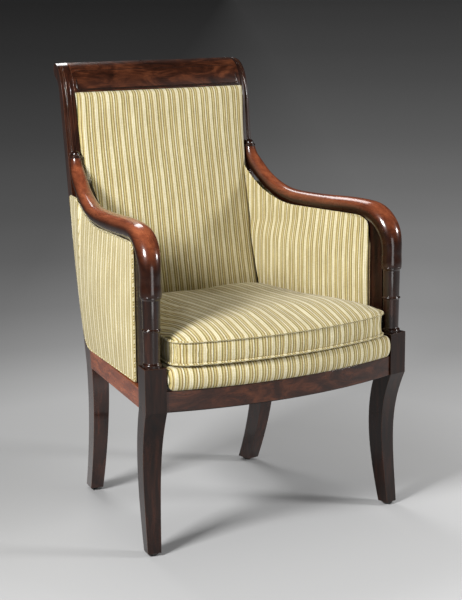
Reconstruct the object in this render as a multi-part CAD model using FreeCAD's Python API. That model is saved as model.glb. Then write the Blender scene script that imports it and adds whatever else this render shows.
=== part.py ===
"""Bergere armchair: mahogany show frame with sabre legs, rolled-back crest and closed upholstered arms.

Lengths are millimetres. X is across the chair, Y runs from front to back and Z is up. The chair faces -Y.
Each side of the chair is a flat frame that is splayed in plan. A side piece is drawn in that frame, as
(t, s, z): t is outwards from the post's axis, s is back from the post's axis and z is the height. It is
drawn once for the right side and mirrored for the left.
"""
import FreeCAD
import Part
import math
import os

from FreeCAD import Vector

# Plan and clearances
FRONT_POST_HALF_SPACING = 293.0
SIDE_SPLAY_DEG = 10.4
STILE_CANT_DEG = 2.4
JOINT_GAP = 0.2
SOFT_GAP = 0.3
MORTISE_END_GAP = 1.0
FAR = 1500.0

# Seat rails
RAIL_BOTTOM = 304.0
RAIL_SHOW_HEIGHT = 41.0
RAIL_LEDGE_HEIGHT = 24.0
FRONT_RAIL_THICK = 28.0
FRONT_RAIL_SHOW_THICK = 12.0
SIDE_RAIL_HALF_THICK = 19.0
SIDE_RAIL_LEDGE_THICK = 9.0
REAR_RAIL_THICK = 26.0
REAR_RAIL_LEDGE_THICK = 10.0
REAR_RAIL_SETBACK = 8.0
BOW_HALF_CHORD = 270.0
BOW_END_Y = -24.5
BOW_RISE = 41.0
RAIL_TENON_THICK = 10.0
RAIL_TENON_HEIGHT = 26.0
RAIL_TENON_LENGTH = 16.0

# Front legs
BLOCK_SIZE = 45.0
BLOCK_RISE = 49.0
LEG_FOOT_INNER = -10.0
LEG_FOOT_OUTER = 18.0
LEG_FRONT_EDGE = [(-14.0, 284.0), (0.0, 240.0), (7.5, 150.0), (-6.0, 0.0)]
LEG_BACK_EDGE = [(20.0, 0.0), (40.0, 100.0), (46.0, 170.0), (38.0, 255.0)]

# Foot glides
GLIDE_HEIGHT = 7.0
GLIDE_RADIUS = 11.5
GLIDE_FLAT_RADIUS = 7.5
GLIDE_NAIL_RADIUS = 2.0
GLIDE_NAIL_LENGTH = 18.0

# Back stiles with the rear sabre legs, front edge and back edge from the floor to the scroll
STILE_SEAT_HALF_WIDTH = 19.0
STILE_TOP_HALF_WIDTH = 12.5
STILE_FOOT_HALF_WIDTH = 14.5
STILE_FOOT_OUTWARD = 12.0
STILE_FRONT_EDGE = [(445.0, 0.0), (402.0, 125.0), (384.0, 260.0), (402.0, 385.0), (440.0, 540.0),
                    (471.0, 700.0), (491.0, 840.0), (503.0, 918.0), (523.0, 955.0)]
STILE_BACK_EDGE = [(536.0, 926.0), (524.0, 890.0), (505.0, 720.0), (480.0, 550.0), (444.0, 385.0),
                   (427.0, 260.0), (442.0, 125.0), (482.0, 0.0)]
SCROLL_CENTRE = (548.0, 950.0)
SCROLL_RADIUS = 16.0
REED_WIDTH = 1.6
REED_DEPTH = 1.2
REED_OFFSETS = [6.0, 10.0]

# Crest rail and the back frame
CREST_HEIGHT = 62.0
CREST_TENON_LENGTH = 14.0
CREST_TENON_THICK = 10.0
CREST_TENON_LIFT = 8.0
CREST_TENON_HEIGHT = 24.0
BACK_TUCK_RAIL_LIFT = 8.0
BACK_TUCK_RAIL_HEIGHT = 24.0
BACK_TUCK_RAIL_THICK = 13.0
BACK_TUCK_RAIL_SETBACK = 18.0
BACK_TENON_THICK = 8.0
BACK_TENON_LENGTH = 10.0

# Turned arm posts
POST_HEIGHT = 142.0
POST_TOP_RADIUS = 18.5
POST_FOOT_RADIUS = 16.8
MID_RING_RISE = 75.0
MID_RING_RADIUS = 19.2
MID_RING_WIDTH = 3.0
TOP_RING_RADIUS = 20.8
TOP_RING_WIDTH = 3.4
BASE_RING_RADIUS = 19.4
BASE_RING_WIDTH = 9.0
POST_TENON_RADIUS = 10.0
POST_TENON_LENGTH = 30.0

# Arms: a drop onto the post, a bend, a level run, a rise and a turn up against the stile
ARM_DROP = 44.0
ARM_BEND_RADIUS = 72.0
ARM_RISE_START = 285.0
ARM_RISE_RADIUS = 230.0
ARM_RISE_TURN_DEG = 48.0
ARM_NECK_RADIUS = 60.0
ARM_NECK_TURN_DEG = 34.0
ARM_END_OUTWARD = 18.0
ARM_RING_THICK_RADIUS = 21.6
ARM_BEND_THICK_RADIUS = 24.6
ARM_LEVEL_THICK_RADIUS = 22.4
ARM_RISE_THICK_RADIUS = 20.2
ARM_NECK_THICK_RADIUS = 16.0
ARM_END_THICK_RADIUS = 12.2

# Arm terminals: a ring and a bud turned on a spigot
TERMINAL_RING_RADIUS = 13.2
TERMINAL_RING_HEIGHT = 6.0
TERMINAL_BUD_RADIUS = 9.6
TERMINAL_BUD_STAND = 2.5
TERMINAL_SPIGOT_RADIUS = 5.0
TERMINAL_SPIGOT_LENGTH = 16.0

# Arm panels: upright, tuck rail, covers and pad, as offsets from the side frame's plane
UPRIGHT_INNER = -8.0
UPRIGHT_OUTER = 10.0
UPRIGHT_BACK = 78.0
UPRIGHT_TENON_LENGTH = 14.0
UPRIGHT_TENON_THICK = 8.0
TUCK_RAIL_LIFT = 6.0
TUCK_RAIL_HEIGHT = 22.0
TUCK_TENON_LENGTH = 12.0
TUCK_TENON_HEIGHT = 12.0
TUCK_TENON_THICK = 8.0
HESSIAN_THICK = 1.2
COVER_THICK = 3.0
PANEL_FRONT = 55.0
ARM_TUCK_SHARE = 0.8
COVER_FRONT = 70.0
COVER_REAR_MARGIN = 16.0
COVER_REAR_ROUND = 50.0
COVER_TIP_RISE = 28.0
COVER_CROWN = 9.0
COVER_TUCK = 5.0
COVER_SECTIONS = 6
PANEL_FRONT_ROUND = 25.0
PAD_EDGE_THICK = 11.0
PAD_CROWN_THICK = 22.0
PAD_LIFT = 4.0
ARM_PAD_REAR_GAP = 1.5

# Seat upholstery
WEBBING_WIDTH = 50.0
WEBBING_THICK = 1.6
WEBBING_PITCH = 70.0
WEBBING_COUNT = 5
WEBBING_MID_Y = 190.0
WEBBING_EDGE_INSET = 9.0
DUST_COVER_THICK = 1.2
SPRING_ROWS = 3
SPRING_TURNS = 4
SPRING_WIRE_RADIUS = 1.6
SPRING_END_RADIUS = 36.0
SPRING_WAIST_RADIUS = 26.0
DECK_THICK = 21.5
DECK_ROLL_BULGE = 9.0
DECK_ROLL_END_GAP = 1.0
DECK_ROLL_EDGE_ROUND = 9.0
DECK_SIDE_OFFSET = -11.0
DECK_REAR_CLEARANCE = 2.0

# Loose seat cushion
CUSHION_BORDER_HEIGHT = 51.0
CUSHION_CROWN = 28.0
CUSHION_FRONT_Y = -76.0
CUSHION_CORNER_Y = -31.0
CUSHION_REAR_CLEARANCE = 1.0
CUSHION_SIDE_CLEARANCE = 1.2
CUSHION_CORNER_CUT = 26.0
CUSHION_DRAW_IN = 3.0
CUSHION_EDGE_ROUND = 5.0
CUSHION_CORNER_PULL = 0.3
CUSHION_TOP_INSET = 156.0
CUSHION_CROWN_STEPS = [0.0, 0.35, 0.65, 0.88, 1.0]

# Inside back and outside back
BACK_PAD_BEHIND_FACE = 13.0
BACK_PAD_EDGE_PROUD = 9.0
BACK_PAD_CROWN = 20.0
BACK_PAD_END_CROWN = 7.0
BACK_PAD_SECTIONS = 5
BACK_WEB_COLUMNS = 4
BACK_WEB_COLUMN_PITCH = 84.0
BACK_WEB_ROWS = 4
BACK_WEB_ROW_PITCH = 100.0
BACK_WEB_FIRST_ROW_RISE = 76.0
OUTSIDE_BACK_INSET = 3.0

# Corner blocks and screws
CORNER_BLOCK_HEIGHT = 26.0
CORNER_BLOCK_LIFT = 7.0
CORNER_BLOCK_NEAR = 50.0
CORNER_BLOCK_FAR = 96.0
SCREW_RADIUS = 2.2
SCREW_HEAD_RADIUS = 4.4
SCREW_HEAD_HEIGHT = 3.0
BLOCK_SCREW_LENGTH = 38.0
BLOCK_SCREW_BITE = 15.0
ARM_SCREW_DROP = 32.0
ARM_SCREW_HEAD_RECESS = 8.0
ARM_SCREW_BITE = 11.0

# Heights and half sizes that follow from the sizes above
RAIL_SHOW_TOP = RAIL_BOTTOM + RAIL_SHOW_HEIGHT
RAIL_LEDGE_TOP = RAIL_SHOW_TOP + RAIL_LEDGE_HEIGHT
BLOCK_HALF = BLOCK_SIZE / 2
BLOCK_TOP = RAIL_SHOW_TOP + BLOCK_RISE
RING_HEIGHT = BLOCK_TOP + POST_HEIGHT
MID_RING_HEIGHT = BLOCK_TOP + MID_RING_RISE
STILE_TOP = SCROLL_CENTRE[1] + SCROLL_RADIUS
CREST_BOTTOM = STILE_TOP - CREST_HEIGHT
CREST_TENON_BOTTOM = CREST_BOTTOM + CREST_TENON_LIFT
CREST_TENON_TOP = CREST_TENON_BOTTOM + CREST_TENON_HEIGHT
BOW_RADIUS = (BOW_HALF_CHORD**2 + BOW_RISE**2) / (2 * BOW_RISE)
BOW_CENTRE_Y = BOW_END_Y - BOW_RISE + BOW_RADIUS
SPLAY = math.radians(SIDE_SPLAY_DEG)
ARM_DROP_TOP = RING_HEIGHT + ARM_DROP
ARM_LEVEL = ARM_DROP_TOP + ARM_BEND_RADIUS
COVER_REAR_TOP = ARM_LEVEL + COVER_TIP_RISE
TUCK_RAIL_BOTTOM = RAIL_LEDGE_TOP + TUCK_RAIL_LIFT
TENON_MID_Z = RAIL_BOTTOM + RAIL_SHOW_HEIGHT / 2
SPRING_SEAT_TOP = RAIL_LEDGE_TOP
DECK_BOTTOM = RAIL_LEDGE_TOP + HESSIAN_THICK + SOFT_GAP
DECK_TOP = DECK_BOTTOM + DECK_THICK
BACK_TUCK_RAIL_BOTTOM = DECK_TOP + BACK_TUCK_RAIL_LIFT
BACK_TUCK_RAIL_TOP = BACK_TUCK_RAIL_BOTTOM + BACK_TUCK_RAIL_HEIGHT
CUSHION_BOTTOM = DECK_TOP + SOFT_GAP
PAD_BOTTOM = DECK_TOP + PAD_LIFT
CUSHION_WELT = CUSHION_BOTTOM + CUSHION_BORDER_HEIGHT
PAD_FACE = UPRIGHT_INNER - HESSIAN_THICK - 2 * SOFT_GAP
PAD_CROWN_FACE = PAD_FACE - PAD_CROWN_THICK
UP = Vector(0, 0, 1)
ORIGIN = Vector(0, 0, 0)


# Placing and general helpers

def canted(shape):
    """Leans a piece of the right side frame outwards about its line at the rails' top."""
    leaned = shape.copy()
    leaned.rotate(Vector(0, 0, RAIL_SHOW_TOP), Vector(0, 1, 0), STILE_CANT_DEG)
    return leaned


def placed(shape):
    """Sets a piece drawn as (t, s, z) at the right side of the chair."""
    moved = shape.copy()
    moved.rotate(ORIGIN, UP, SIDE_SPLAY_DEG)
    moved.translate(Vector(FRONT_POST_HALF_SPACING, 0, 0))
    return moved


def mirrored(shape):
    """The same piece on the left side."""
    return shape.mirror(ORIGIN, Vector(1, 0, 0))


def plan_point(t, s, z):
    """The chair's own coordinates of a point of the right side frame."""
    x = FRONT_POST_HALF_SPACING - s * math.sin(SPLAY) + t * math.cos(SPLAY)
    y = s * math.cos(SPLAY) + t * math.sin(SPLAY)
    return Vector(x, y, z)


def box(low, high):
    """A box between two corners."""
    size = [high[axis] - low[axis] for axis in range(3)]
    return Part.makeBox(size[0], size[1], size[2], Vector(low[0], low[1], low[2]))


def prism(points, direction):
    """A straight-edged outline carried along a direction."""
    wire = Part.makePolygon(points + [points[0]])
    return Part.Face(wire).extrude(direction)


def line(start, end):
    return Part.LineSegment(start, end).toShape()


def arc(start, middle, end):
    return Part.Arc(start, middle, end).toShape()


def curve(points):
    """A smooth edge through a few points."""
    spline = Part.BSplineCurve()
    spline.interpolate(points)
    return spline.toShape()


def nearest_solid(shape, point):
    """The solid of a cut shape whose middle lies nearest to a point."""
    return min(shape.Solids, key=lambda solid: solid.CenterOfMass.distanceToPoint(point))


def middle_solid(shape):
    """The solid that stands across the chair's middle plane."""
    return min(shape.Solids, key=lambda solid: abs(solid.CenterOfMass.x))


def turned(profile):
    """A solid turned about Z from (radius, height) points, bottom to top."""
    points = [Vector(0, 0, profile[0][1])]
    points += [Vector(radius, 0, height) for radius, height in profile]
    points += [Vector(0, 0, profile[-1][1])]
    face = Part.Face(Part.makePolygon(points + [points[0]]))
    return face.revolve(ORIGIN, UP, 360)


# Back stiles and the scroll profile

def front_edge_points():
    """The stile's front edge as (s, z), from the floor to the scroll's crown."""
    return STILE_FRONT_EDGE + [(SCROLL_CENTRE[0], SCROLL_CENTRE[1] + SCROLL_RADIUS)]


def back_edge_points():
    """The stile's back edge as (s, z), from under the scroll to the floor."""
    return [(SCROLL_CENTRE[0], SCROLL_CENTRE[1] - SCROLL_RADIUS)] + STILE_BACK_EDGE


def stile_edges(where):
    """The stile's front edge, scroll nose, back edge and foot, with where(s, z) placing each point."""
    front = [where(s, z) for s, z in front_edge_points()]
    back = [where(s, z) for s, z in back_edge_points()]
    nose = where(SCROLL_CENTRE[0] + SCROLL_RADIUS, SCROLL_CENTRE[1])
    return [curve(front), arc(front[-1], nose, back[0]), curve(back), line(back[-1], front[0])]


def stile_profile(t, shift=0.0):
    """The stile's outline as a face at offset t, moved back by shift."""
    return Part.Face(Part.Wire(stile_edges(lambda s, z: Vector(t, s + shift, z))))


def stile_half_at(z):
    """Half the stile's width at a height above the seat."""
    share = (z - RAIL_SHOW_TOP) / (STILE_TOP - RAIL_SHOW_TOP)
    return STILE_SEAT_HALF_WIDTH + share * (STILE_TOP_HALF_WIDTH - STILE_SEAT_HALF_WIDTH)


def stile_lean_at(z):
    """How far outwards the canted stile stands at a height."""
    return (z - RAIL_SHOW_TOP) * math.tan(math.radians(STILE_CANT_DEG))


def stile_width_outline(gap):
    """The stile seen from the front, from a foot that stands upright under the seat to above its top."""
    above = STILE_TOP + SCROLL_RADIUS
    widths = [(STILE_FOOT_OUTWARD, STILE_FOOT_HALF_WIDTH, 0.0), (0.0, STILE_SEAT_HALF_WIDTH, RAIL_BOTTOM),
              (0.0, STILE_SEAT_HALF_WIDTH, RAIL_SHOW_TOP), (0.0, stile_half_at(above), above)]
    outer = [Vector(middle + half + gap, 0, z) for middle, half, z in widths]
    inner = [Vector(middle - half - gap, 0, z) for middle, half, z in reversed(widths)]
    return outer + inner


def stile_blank(gap=0.0):
    """A stile before it is jointed, grown by gap on its front and sides, as (t, s, z)."""
    reach = STILE_SEAT_HALF_WIDTH + STILE_FOOT_OUTWARD + gap
    body = stile_profile(-reach).extrude(Vector(2 * reach, 0, 0))
    if gap:
        body = body.fuse(stile_profile(-reach, -gap).extrude(Vector(2 * reach, 0, 0)))
    widths = prism(stile_width_outline(gap), Vector(0, FAR, 0))
    feet = box((-FAR, -FAR, -FAR), (FAR, FAR, GLIDE_HEIGHT))
    return canted(body.common(widths)).cut(feet)


def behind_stile_front():
    """The stile's profile carried well past its sides, to end a piece at the stile's front face."""
    return canted(stile_profile(-2 * BLOCK_SIZE).extrude(Vector(4 * BLOCK_SIZE, 0, 0)))


def stile_reeds():
    """Shallow grooves that run up the outer part of the stile's front face."""
    grooves = []
    for offset in REED_OFFSETS:
        start = STILE_TOP_HALF_WIDTH - offset
        whole = stile_profile(start).extrude(Vector(REED_WIDTH, 0, 0))
        behind = stile_profile(start, REED_DEPTH).extrude(Vector(REED_WIDTH, 0, 0))
        above_arm = box((-FAR, -FAR, RAIL_SHOW_TOP), (FAR, SCROLL_CENTRE[0], FAR))
        grooves.append(canted(whole.cut(behind).common(above_arm)))
    return grooves


def edge_at(points, z):
    """How far back an edge through (s, z) points lies at a height, on the smooth curve through them."""
    edge = curve([Vector(0, s, height) for s, height in points])
    level = line(Vector(0, 0, z), Vector(0, FAR, z))
    return edge.distToShape(level)[1][0][0].y


def stile_front_at(z):
    return edge_at(front_edge_points(), z)


def stile_back_at(z):
    return edge_at(back_edge_points(), z)


def across_y(s):
    """Y of a cross piece that meets the stile's inner face at s."""
    return s * math.cos(SPLAY) - STILE_SEAT_HALF_WIDTH * math.sin(SPLAY)


def between_stiles(gap):
    """The space between the stiles' inner faces above the seat, less a gap each side."""
    rise = STILE_TOP - RAIL_SHOW_TOP
    taper = math.degrees(math.atan((STILE_SEAT_HALF_WIDTH - STILE_TOP_HALF_WIDTH) / rise))
    inner = -STILE_SEAT_HALF_WIDTH - gap
    space = box((-FAR, -FAR, -FAR), (inner, FAR, FAR))
    space.rotate(Vector(inner, 0, RAIL_SHOW_TOP), Vector(0, 1, 0), taper)
    right = placed(canted(space))
    return right.common(mirrored(right))


def stile_tenon(s, z, thick, height, length, grow=0.0):
    """A tenon from a cross piece into the right stile's inner face, or with grow its mortise."""
    inner = -STILE_SEAT_HALF_WIDTH
    low = (inner - thick, s - thick / 2 - grow, z - height / 2 - grow)
    high = (inner + length + (MORTISE_END_GAP if grow else 0.0), s + thick / 2 + grow, z + height / 2 + grow)
    return placed(canted(box(low, high)))


def tenoned_both_ways(body, tenon):
    """A cross piece with the same tenon at its right and left ends."""
    return body.fuse([tenon, mirrored(tenon)]).removeSplitter()


# Side rails, legs, posts and arms of the right side frame

def leg_blank():
    """The front leg: a square block over a sabre leg that tapers on its inner face."""
    top_front = Vector(-BLOCK_HALF, -BLOCK_HALF, RAIL_BOTTOM)
    top_back = Vector(-BLOCK_HALF, BLOCK_HALF, RAIL_BOTTOM)
    front = [top_front] + [Vector(-BLOCK_HALF, s, z) for s, z in LEG_FRONT_EDGE]
    back = [Vector(-BLOCK_HALF, s, z) for s, z in LEG_BACK_EDGE] + [top_back]
    edges = [curve(front), line(front[-1], back[0]), curve(back), line(back[-1], front[0])]
    side = Part.Face(Part.Wire(edges)).extrude(Vector(BLOCK_SIZE, 0, 0))
    widths = prism([Vector(-BLOCK_HALF, -FAR, RAIL_BOTTOM), Vector(BLOCK_HALF, -FAR, RAIL_BOTTOM),
                    Vector(LEG_FOOT_OUTER, -FAR, 0), Vector(LEG_FOOT_INNER, -FAR, 0)], Vector(0, 2 * FAR, 0))
    feet = box((-FAR, -FAR, -FAR), (FAR, FAR, GLIDE_HEIGHT))
    block = box((-BLOCK_HALF, -BLOCK_HALF, RAIL_BOTTOM), (BLOCK_HALF, BLOCK_HALF, BLOCK_TOP))
    return block.fuse(side.common(widths).cut(feet)).removeSplitter()


def side_rail_tenon(at_stile, grow=0.0):
    """The side rail's tenon into the leg block, or into the stile, or with grow its mortise."""
    half = RAIL_TENON_THICK / 2 + grow
    extra = MORTISE_END_GAP if grow else 0.0
    low_z = TENON_MID_Z - RAIL_TENON_HEIGHT / 2 - grow
    high_z = TENON_MID_Z + RAIL_TENON_HEIGHT / 2 + grow
    if at_stile:
        root = stile_front_at(TENON_MID_Z)
        return box((-half, root - RAIL_TENON_THICK, low_z), (half, root + RAIL_TENON_LENGTH + extra, high_z))
    root = BLOCK_HALF
    return box((-half, root - RAIL_TENON_LENGTH - extra, low_z), (half, root + RAIL_TENON_THICK, high_z))


def side_rail():
    """Side seat rail: show face outside, and a ledge inside for the seat upholstery."""
    reach = stile_front_at(TENON_MID_Z) + STILE_SEAT_HALF_WIDTH
    half = SIDE_RAIL_HALF_THICK
    show = box((-half, BLOCK_HALF, RAIL_BOTTOM), (half, reach, RAIL_SHOW_TOP))
    ledge = box((-half, BLOCK_HALF, RAIL_BOTTOM), (-half + SIDE_RAIL_LEDGE_THICK, reach, RAIL_LEDGE_TOP))
    rail = nearest_solid(show.fuse(ledge).removeSplitter().cut(behind_stile_front()), ORIGIN)
    rail = rail.fuse([side_rail_tenon(False), side_rail_tenon(True)]).removeSplitter()
    return rail.cut(upright_tenon(JOINT_GAP))


def front_rail_tenon(grow=0.0):
    """The front rail's tenon into the right leg block's inner face, or with grow its mortise."""
    extra = MORTISE_END_GAP if grow else 0.0
    mid_s = -BLOCK_HALF + FRONT_RAIL_THICK / 2
    half = RAIL_TENON_THICK / 2 + grow
    half_height = RAIL_TENON_HEIGHT / 2 + grow
    low = (-BLOCK_HALF - RAIL_TENON_THICK, mid_s - half, TENON_MID_Z - half_height)
    high = (-BLOCK_HALF + RAIL_TENON_LENGTH + extra, mid_s + half, TENON_MID_Z + half_height)
    return box(low, high)


def post_tenon(bottom, top, grow=0.0):
    return Part.makeCylinder(POST_TENON_RADIUS + grow, top - bottom, Vector(0, 0, bottom))


def front_leg():
    leg = leg_blank()
    socket = post_tenon(BLOCK_TOP - POST_TENON_LENGTH - MORTISE_END_GAP, BLOCK_TOP, JOINT_GAP)
    nail_depth = GLIDE_NAIL_LENGTH + MORTISE_END_GAP
    nail = Part.makeCylinder(GLIDE_NAIL_RADIUS + JOINT_GAP, nail_depth, leg_foot_centre())
    return leg.cut([side_rail_tenon(False, JOINT_GAP), front_rail_tenon(JOINT_GAP), socket, nail])


def arm_post():
    """Turned post with a base ring, a middle ring, a top ring and a round tenon at each end."""
    base = BLOCK_TOP + BASE_RING_WIDTH
    mid_radius = (POST_FOOT_RADIUS + POST_TOP_RADIUS) / 2
    profile = [(POST_TENON_RADIUS, BLOCK_TOP - POST_TENON_LENGTH), (POST_TENON_RADIUS, BLOCK_TOP),
               (BASE_RING_RADIUS, BLOCK_TOP), (BASE_RING_RADIUS, base - BASE_RING_WIDTH / 3),
               (POST_FOOT_RADIUS, base), (mid_radius, MID_RING_HEIGHT - MID_RING_WIDTH),
               (MID_RING_RADIUS, MID_RING_HEIGHT - MID_RING_WIDTH / 2),
               (MID_RING_RADIUS, MID_RING_HEIGHT + MID_RING_WIDTH / 2),
               (mid_radius, MID_RING_HEIGHT + MID_RING_WIDTH),
               (POST_TOP_RADIUS, RING_HEIGHT - 2 * TOP_RING_WIDTH),
               (TOP_RING_RADIUS, RING_HEIGHT - TOP_RING_WIDTH), (TOP_RING_RADIUS, RING_HEIGHT),
               (POST_TENON_RADIUS, RING_HEIGHT),
               (POST_TENON_RADIUS, RING_HEIGHT + POST_TENON_LENGTH)]
    return turned(profile)


def arm_path():
    """The arm's centre line in the side frame's plane, as a list of (edge, start radius, end radius)."""
    drop = Vector(0, 0, RING_HEIGHT)
    shoulder = Vector(0, 0, ARM_DROP_TOP)
    half_turn = math.sqrt(0.5) * ARM_BEND_RADIUS
    elbow = Vector(0, ARM_BEND_RADIUS - half_turn, ARM_DROP_TOP + half_turn)
    level_start = Vector(0, ARM_BEND_RADIUS, ARM_LEVEL)
    level_end = Vector(0, ARM_RISE_START, ARM_LEVEL)

    def rise(turn_deg):
        turn = math.radians(turn_deg)
        offset = Vector(0, ARM_RISE_RADIUS * math.sin(turn), ARM_RISE_RADIUS * (1 - math.cos(turn)))
        return level_end + offset

    rise_end = rise(ARM_RISE_TURN_DEG)

    def neck(turn_deg):
        begin = math.radians(ARM_RISE_TURN_DEG)
        finish = math.radians(ARM_RISE_TURN_DEG + turn_deg)
        run = ARM_NECK_RADIUS * (math.sin(finish) - math.sin(begin))
        return rise_end + Vector(0, run, ARM_NECK_RADIUS * (math.cos(begin) - math.cos(finish)))

    return [
        (line(drop, shoulder), ARM_RING_THICK_RADIUS, ARM_RING_THICK_RADIUS + JOINT_GAP),
        (arc(shoulder, elbow, level_start), ARM_RING_THICK_RADIUS + JOINT_GAP, ARM_LEVEL_THICK_RADIUS),
        (line(level_start, level_end), ARM_LEVEL_THICK_RADIUS, ARM_RISE_THICK_RADIUS),
        (arc(level_end, rise(ARM_RISE_TURN_DEG / 2), rise_end), ARM_RISE_THICK_RADIUS, ARM_NECK_THICK_RADIUS),
        (arc(rise_end, neck(ARM_NECK_TURN_DEG / 2), neck(ARM_NECK_TURN_DEG)), ARM_NECK_THICK_RADIUS,
         ARM_END_THICK_RADIUS),
    ]


def arm_sections(grow):
    """Round sections along the arm, thickest in the bend and drifting outwards to meet the canted stile."""
    path = arm_path()
    sections = []
    for number, (edge, start_radius, end_radius) in enumerate(path):
        steps = 2 if number in (0, 2) else 4
        for step in range(steps + (1 if number == len(path) - 1 else 0)):
            share = step / steps
            parameter = edge.FirstParameter + share * (edge.LastParameter - edge.FirstParameter)
            radius = start_radius + share * (end_radius - start_radius)
            if number == 1:
                swell = ARM_BEND_THICK_RADIUS - (start_radius + end_radius) / 2
                radius += swell * math.sin(math.pi * share)
            centre = edge.valueAt(parameter)
            centre.x = arm_drift(centre.y)
            tangent = edge.tangentAt(parameter)
            ring = Part.Wire(Part.makeCircle(radius + grow))
            across = Vector(1, 0, 0)
            turn = FreeCAD.Rotation(across, tangent.cross(across), tangent, "ZXY")
            ring.Placement = FreeCAD.Placement(centre, turn)
            sections.append(ring)
    return sections


def arm_drift(s):
    """How far outwards the arm's centre line stands at s."""
    along = min(1.0, max(0.0, s / arm_end()[0].y))
    return ARM_END_OUTWARD * along * along * (3 - 2 * along)


def arm_blank(grow=0.0):
    return Part.makeLoft(arm_sections(grow), True)


def arm_end():
    """Centre and direction of the arm's upper end."""
    edge = arm_path()[-1][0]
    centre = edge.valueAt(edge.LastParameter)
    centre.x = ARM_END_OUTWARD
    return centre, edge.tangentAt(edge.LastParameter)


def set_on_arm_end(shape):
    """Moves a piece turned about Z onto the arm's upper end."""
    centre, direction = arm_end()
    moved = shape.copy()
    moved.Placement = FreeCAD.Placement(centre, FreeCAD.Rotation(UP, direction))
    return moved


def arm_terminal():
    """Ring and round bud on a spigot, as (t, s, z)."""
    bevel = TERMINAL_RING_HEIGHT / 4
    profile = [(TERMINAL_SPIGOT_RADIUS, -TERMINAL_SPIGOT_LENGTH), (TERMINAL_SPIGOT_RADIUS, 0.0),
               (ARM_END_THICK_RADIUS, 0.0), (TERMINAL_RING_RADIUS, bevel),
               (TERMINAL_RING_RADIUS, TERMINAL_RING_HEIGHT - bevel),
               (ARM_END_THICK_RADIUS, TERMINAL_RING_HEIGHT)]
    bud_centre = TERMINAL_RING_HEIGHT + TERMINAL_BUD_STAND
    bud = Part.makeSphere(TERMINAL_BUD_RADIUS, Vector(0, 0, bud_centre))
    below = Part.makeCylinder(FAR, FAR, Vector(0, 0, TERMINAL_RING_HEIGHT - FAR))
    whole = set_on_arm_end(turned(profile).fuse(bud.cut(below)).removeSplitter())
    return nearest_solid(whole.cut(stile_blank(JOINT_GAP)), arm_end()[0])


def arm_screw(grow=0.0):
    """Screw through the stile into the arm's neck from behind, as (t, s, z)."""
    z = arm_end()[0].z - ARM_SCREW_DROP
    head = stile_back_at(z) - ARM_SCREW_HEAD_RECESS
    tip = stile_front_at(z) - ARM_SCREW_BITE
    back = Vector(0, 1, 0)
    shank = Part.makeCylinder(SCREW_RADIUS + grow, head - tip + grow, Vector(0, tip - grow, z), back)
    head_length = SCREW_HEAD_HEIGHT + (ARM_SCREW_HEAD_RECESS if grow else 0.0)
    cap = Part.makeCylinder(SCREW_HEAD_RADIUS + grow, head_length, Vector(0, head, z), back)
    return canted(shank.fuse(cap).removeSplitter())


def arm():
    blank = arm_blank().cut(stile_blank(JOINT_GAP))
    socket = post_tenon(RING_HEIGHT, RING_HEIGHT + POST_TENON_LENGTH + MORTISE_END_GAP, JOINT_GAP)
    spigot_depth = TERMINAL_SPIGOT_LENGTH + MORTISE_END_GAP
    spigot = Part.makeCylinder(TERMINAL_SPIGOT_RADIUS + JOINT_GAP, spigot_depth, Vector(0, 0, -spigot_depth))
    cuts = [socket, set_on_arm_end(spigot), arm_screw(JOINT_GAP), upright_tenon(JOINT_GAP, True)]
    return nearest_solid(blank.cut(cuts), Vector(0, UPRIGHT_BACK, ARM_LEVEL))


# Arm panels

def upright_outline():
    """The upright's side view, with its front notched round the leg block."""
    post_clear = TOP_RING_RADIUS + JOINT_GAP
    return [(BLOCK_HALF, RAIL_SHOW_TOP), (UPRIGHT_BACK, RAIL_SHOW_TOP), (UPRIGHT_BACK, ARM_LEVEL),
            (post_clear, ARM_LEVEL), (post_clear, BLOCK_TOP), (BLOCK_HALF, BLOCK_TOP)]


def upright_tenon(grow=0.0, at_top=False):
    """The upright's tenon into the side rail, or up into the arm, or with grow its mortise."""
    half = UPRIGHT_TENON_THICK / 2 + grow
    mid = (UPRIGHT_INNER + UPRIGHT_OUTER) / 2
    extra = MORTISE_END_GAP if grow else 0.0
    front = BLOCK_HALF + UPRIGHT_TENON_LENGTH - grow
    back = UPRIGHT_BACK - UPRIGHT_TENON_LENGTH / 2 + grow
    if at_top:
        under = ARM_LEVEL - ARM_LEVEL_THICK_RADIUS
        front = back - UPRIGHT_TENON_LENGTH - 2 * grow
        return box((mid - half, front, under - UPRIGHT_TENON_LENGTH),
                   (mid + half, back, under + UPRIGHT_TENON_LENGTH / 2 + extra))
    return box((mid - half, front, RAIL_SHOW_TOP - UPRIGHT_TENON_LENGTH - extra),
               (mid + half, back, RAIL_SHOW_TOP + UPRIGHT_TENON_LENGTH))


def tuck_tenon(at_stile, grow=0.0):
    """The tuck rail's tenon into the upright or into the stile, or with grow its mortise."""
    half = TUCK_TENON_THICK / 2 + grow
    mid_t = (UPRIGHT_INNER + UPRIGHT_OUTER) / 2
    mid_z = TUCK_RAIL_BOTTOM + TUCK_RAIL_HEIGHT / 2
    half_z = TUCK_TENON_HEIGHT / 2 + grow
    extra = MORTISE_END_GAP if grow else 0.0
    root = stile_front_at(mid_z) if at_stile else UPRIGHT_BACK
    ahead = TUCK_TENON_LENGTH if at_stile else TUCK_TENON_LENGTH + extra
    behind = TUCK_TENON_LENGTH + extra if at_stile else TUCK_TENON_LENGTH
    return box((mid_t - half, root - ahead, mid_z - half_z), (mid_t + half, root + behind, mid_z + half_z))


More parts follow.
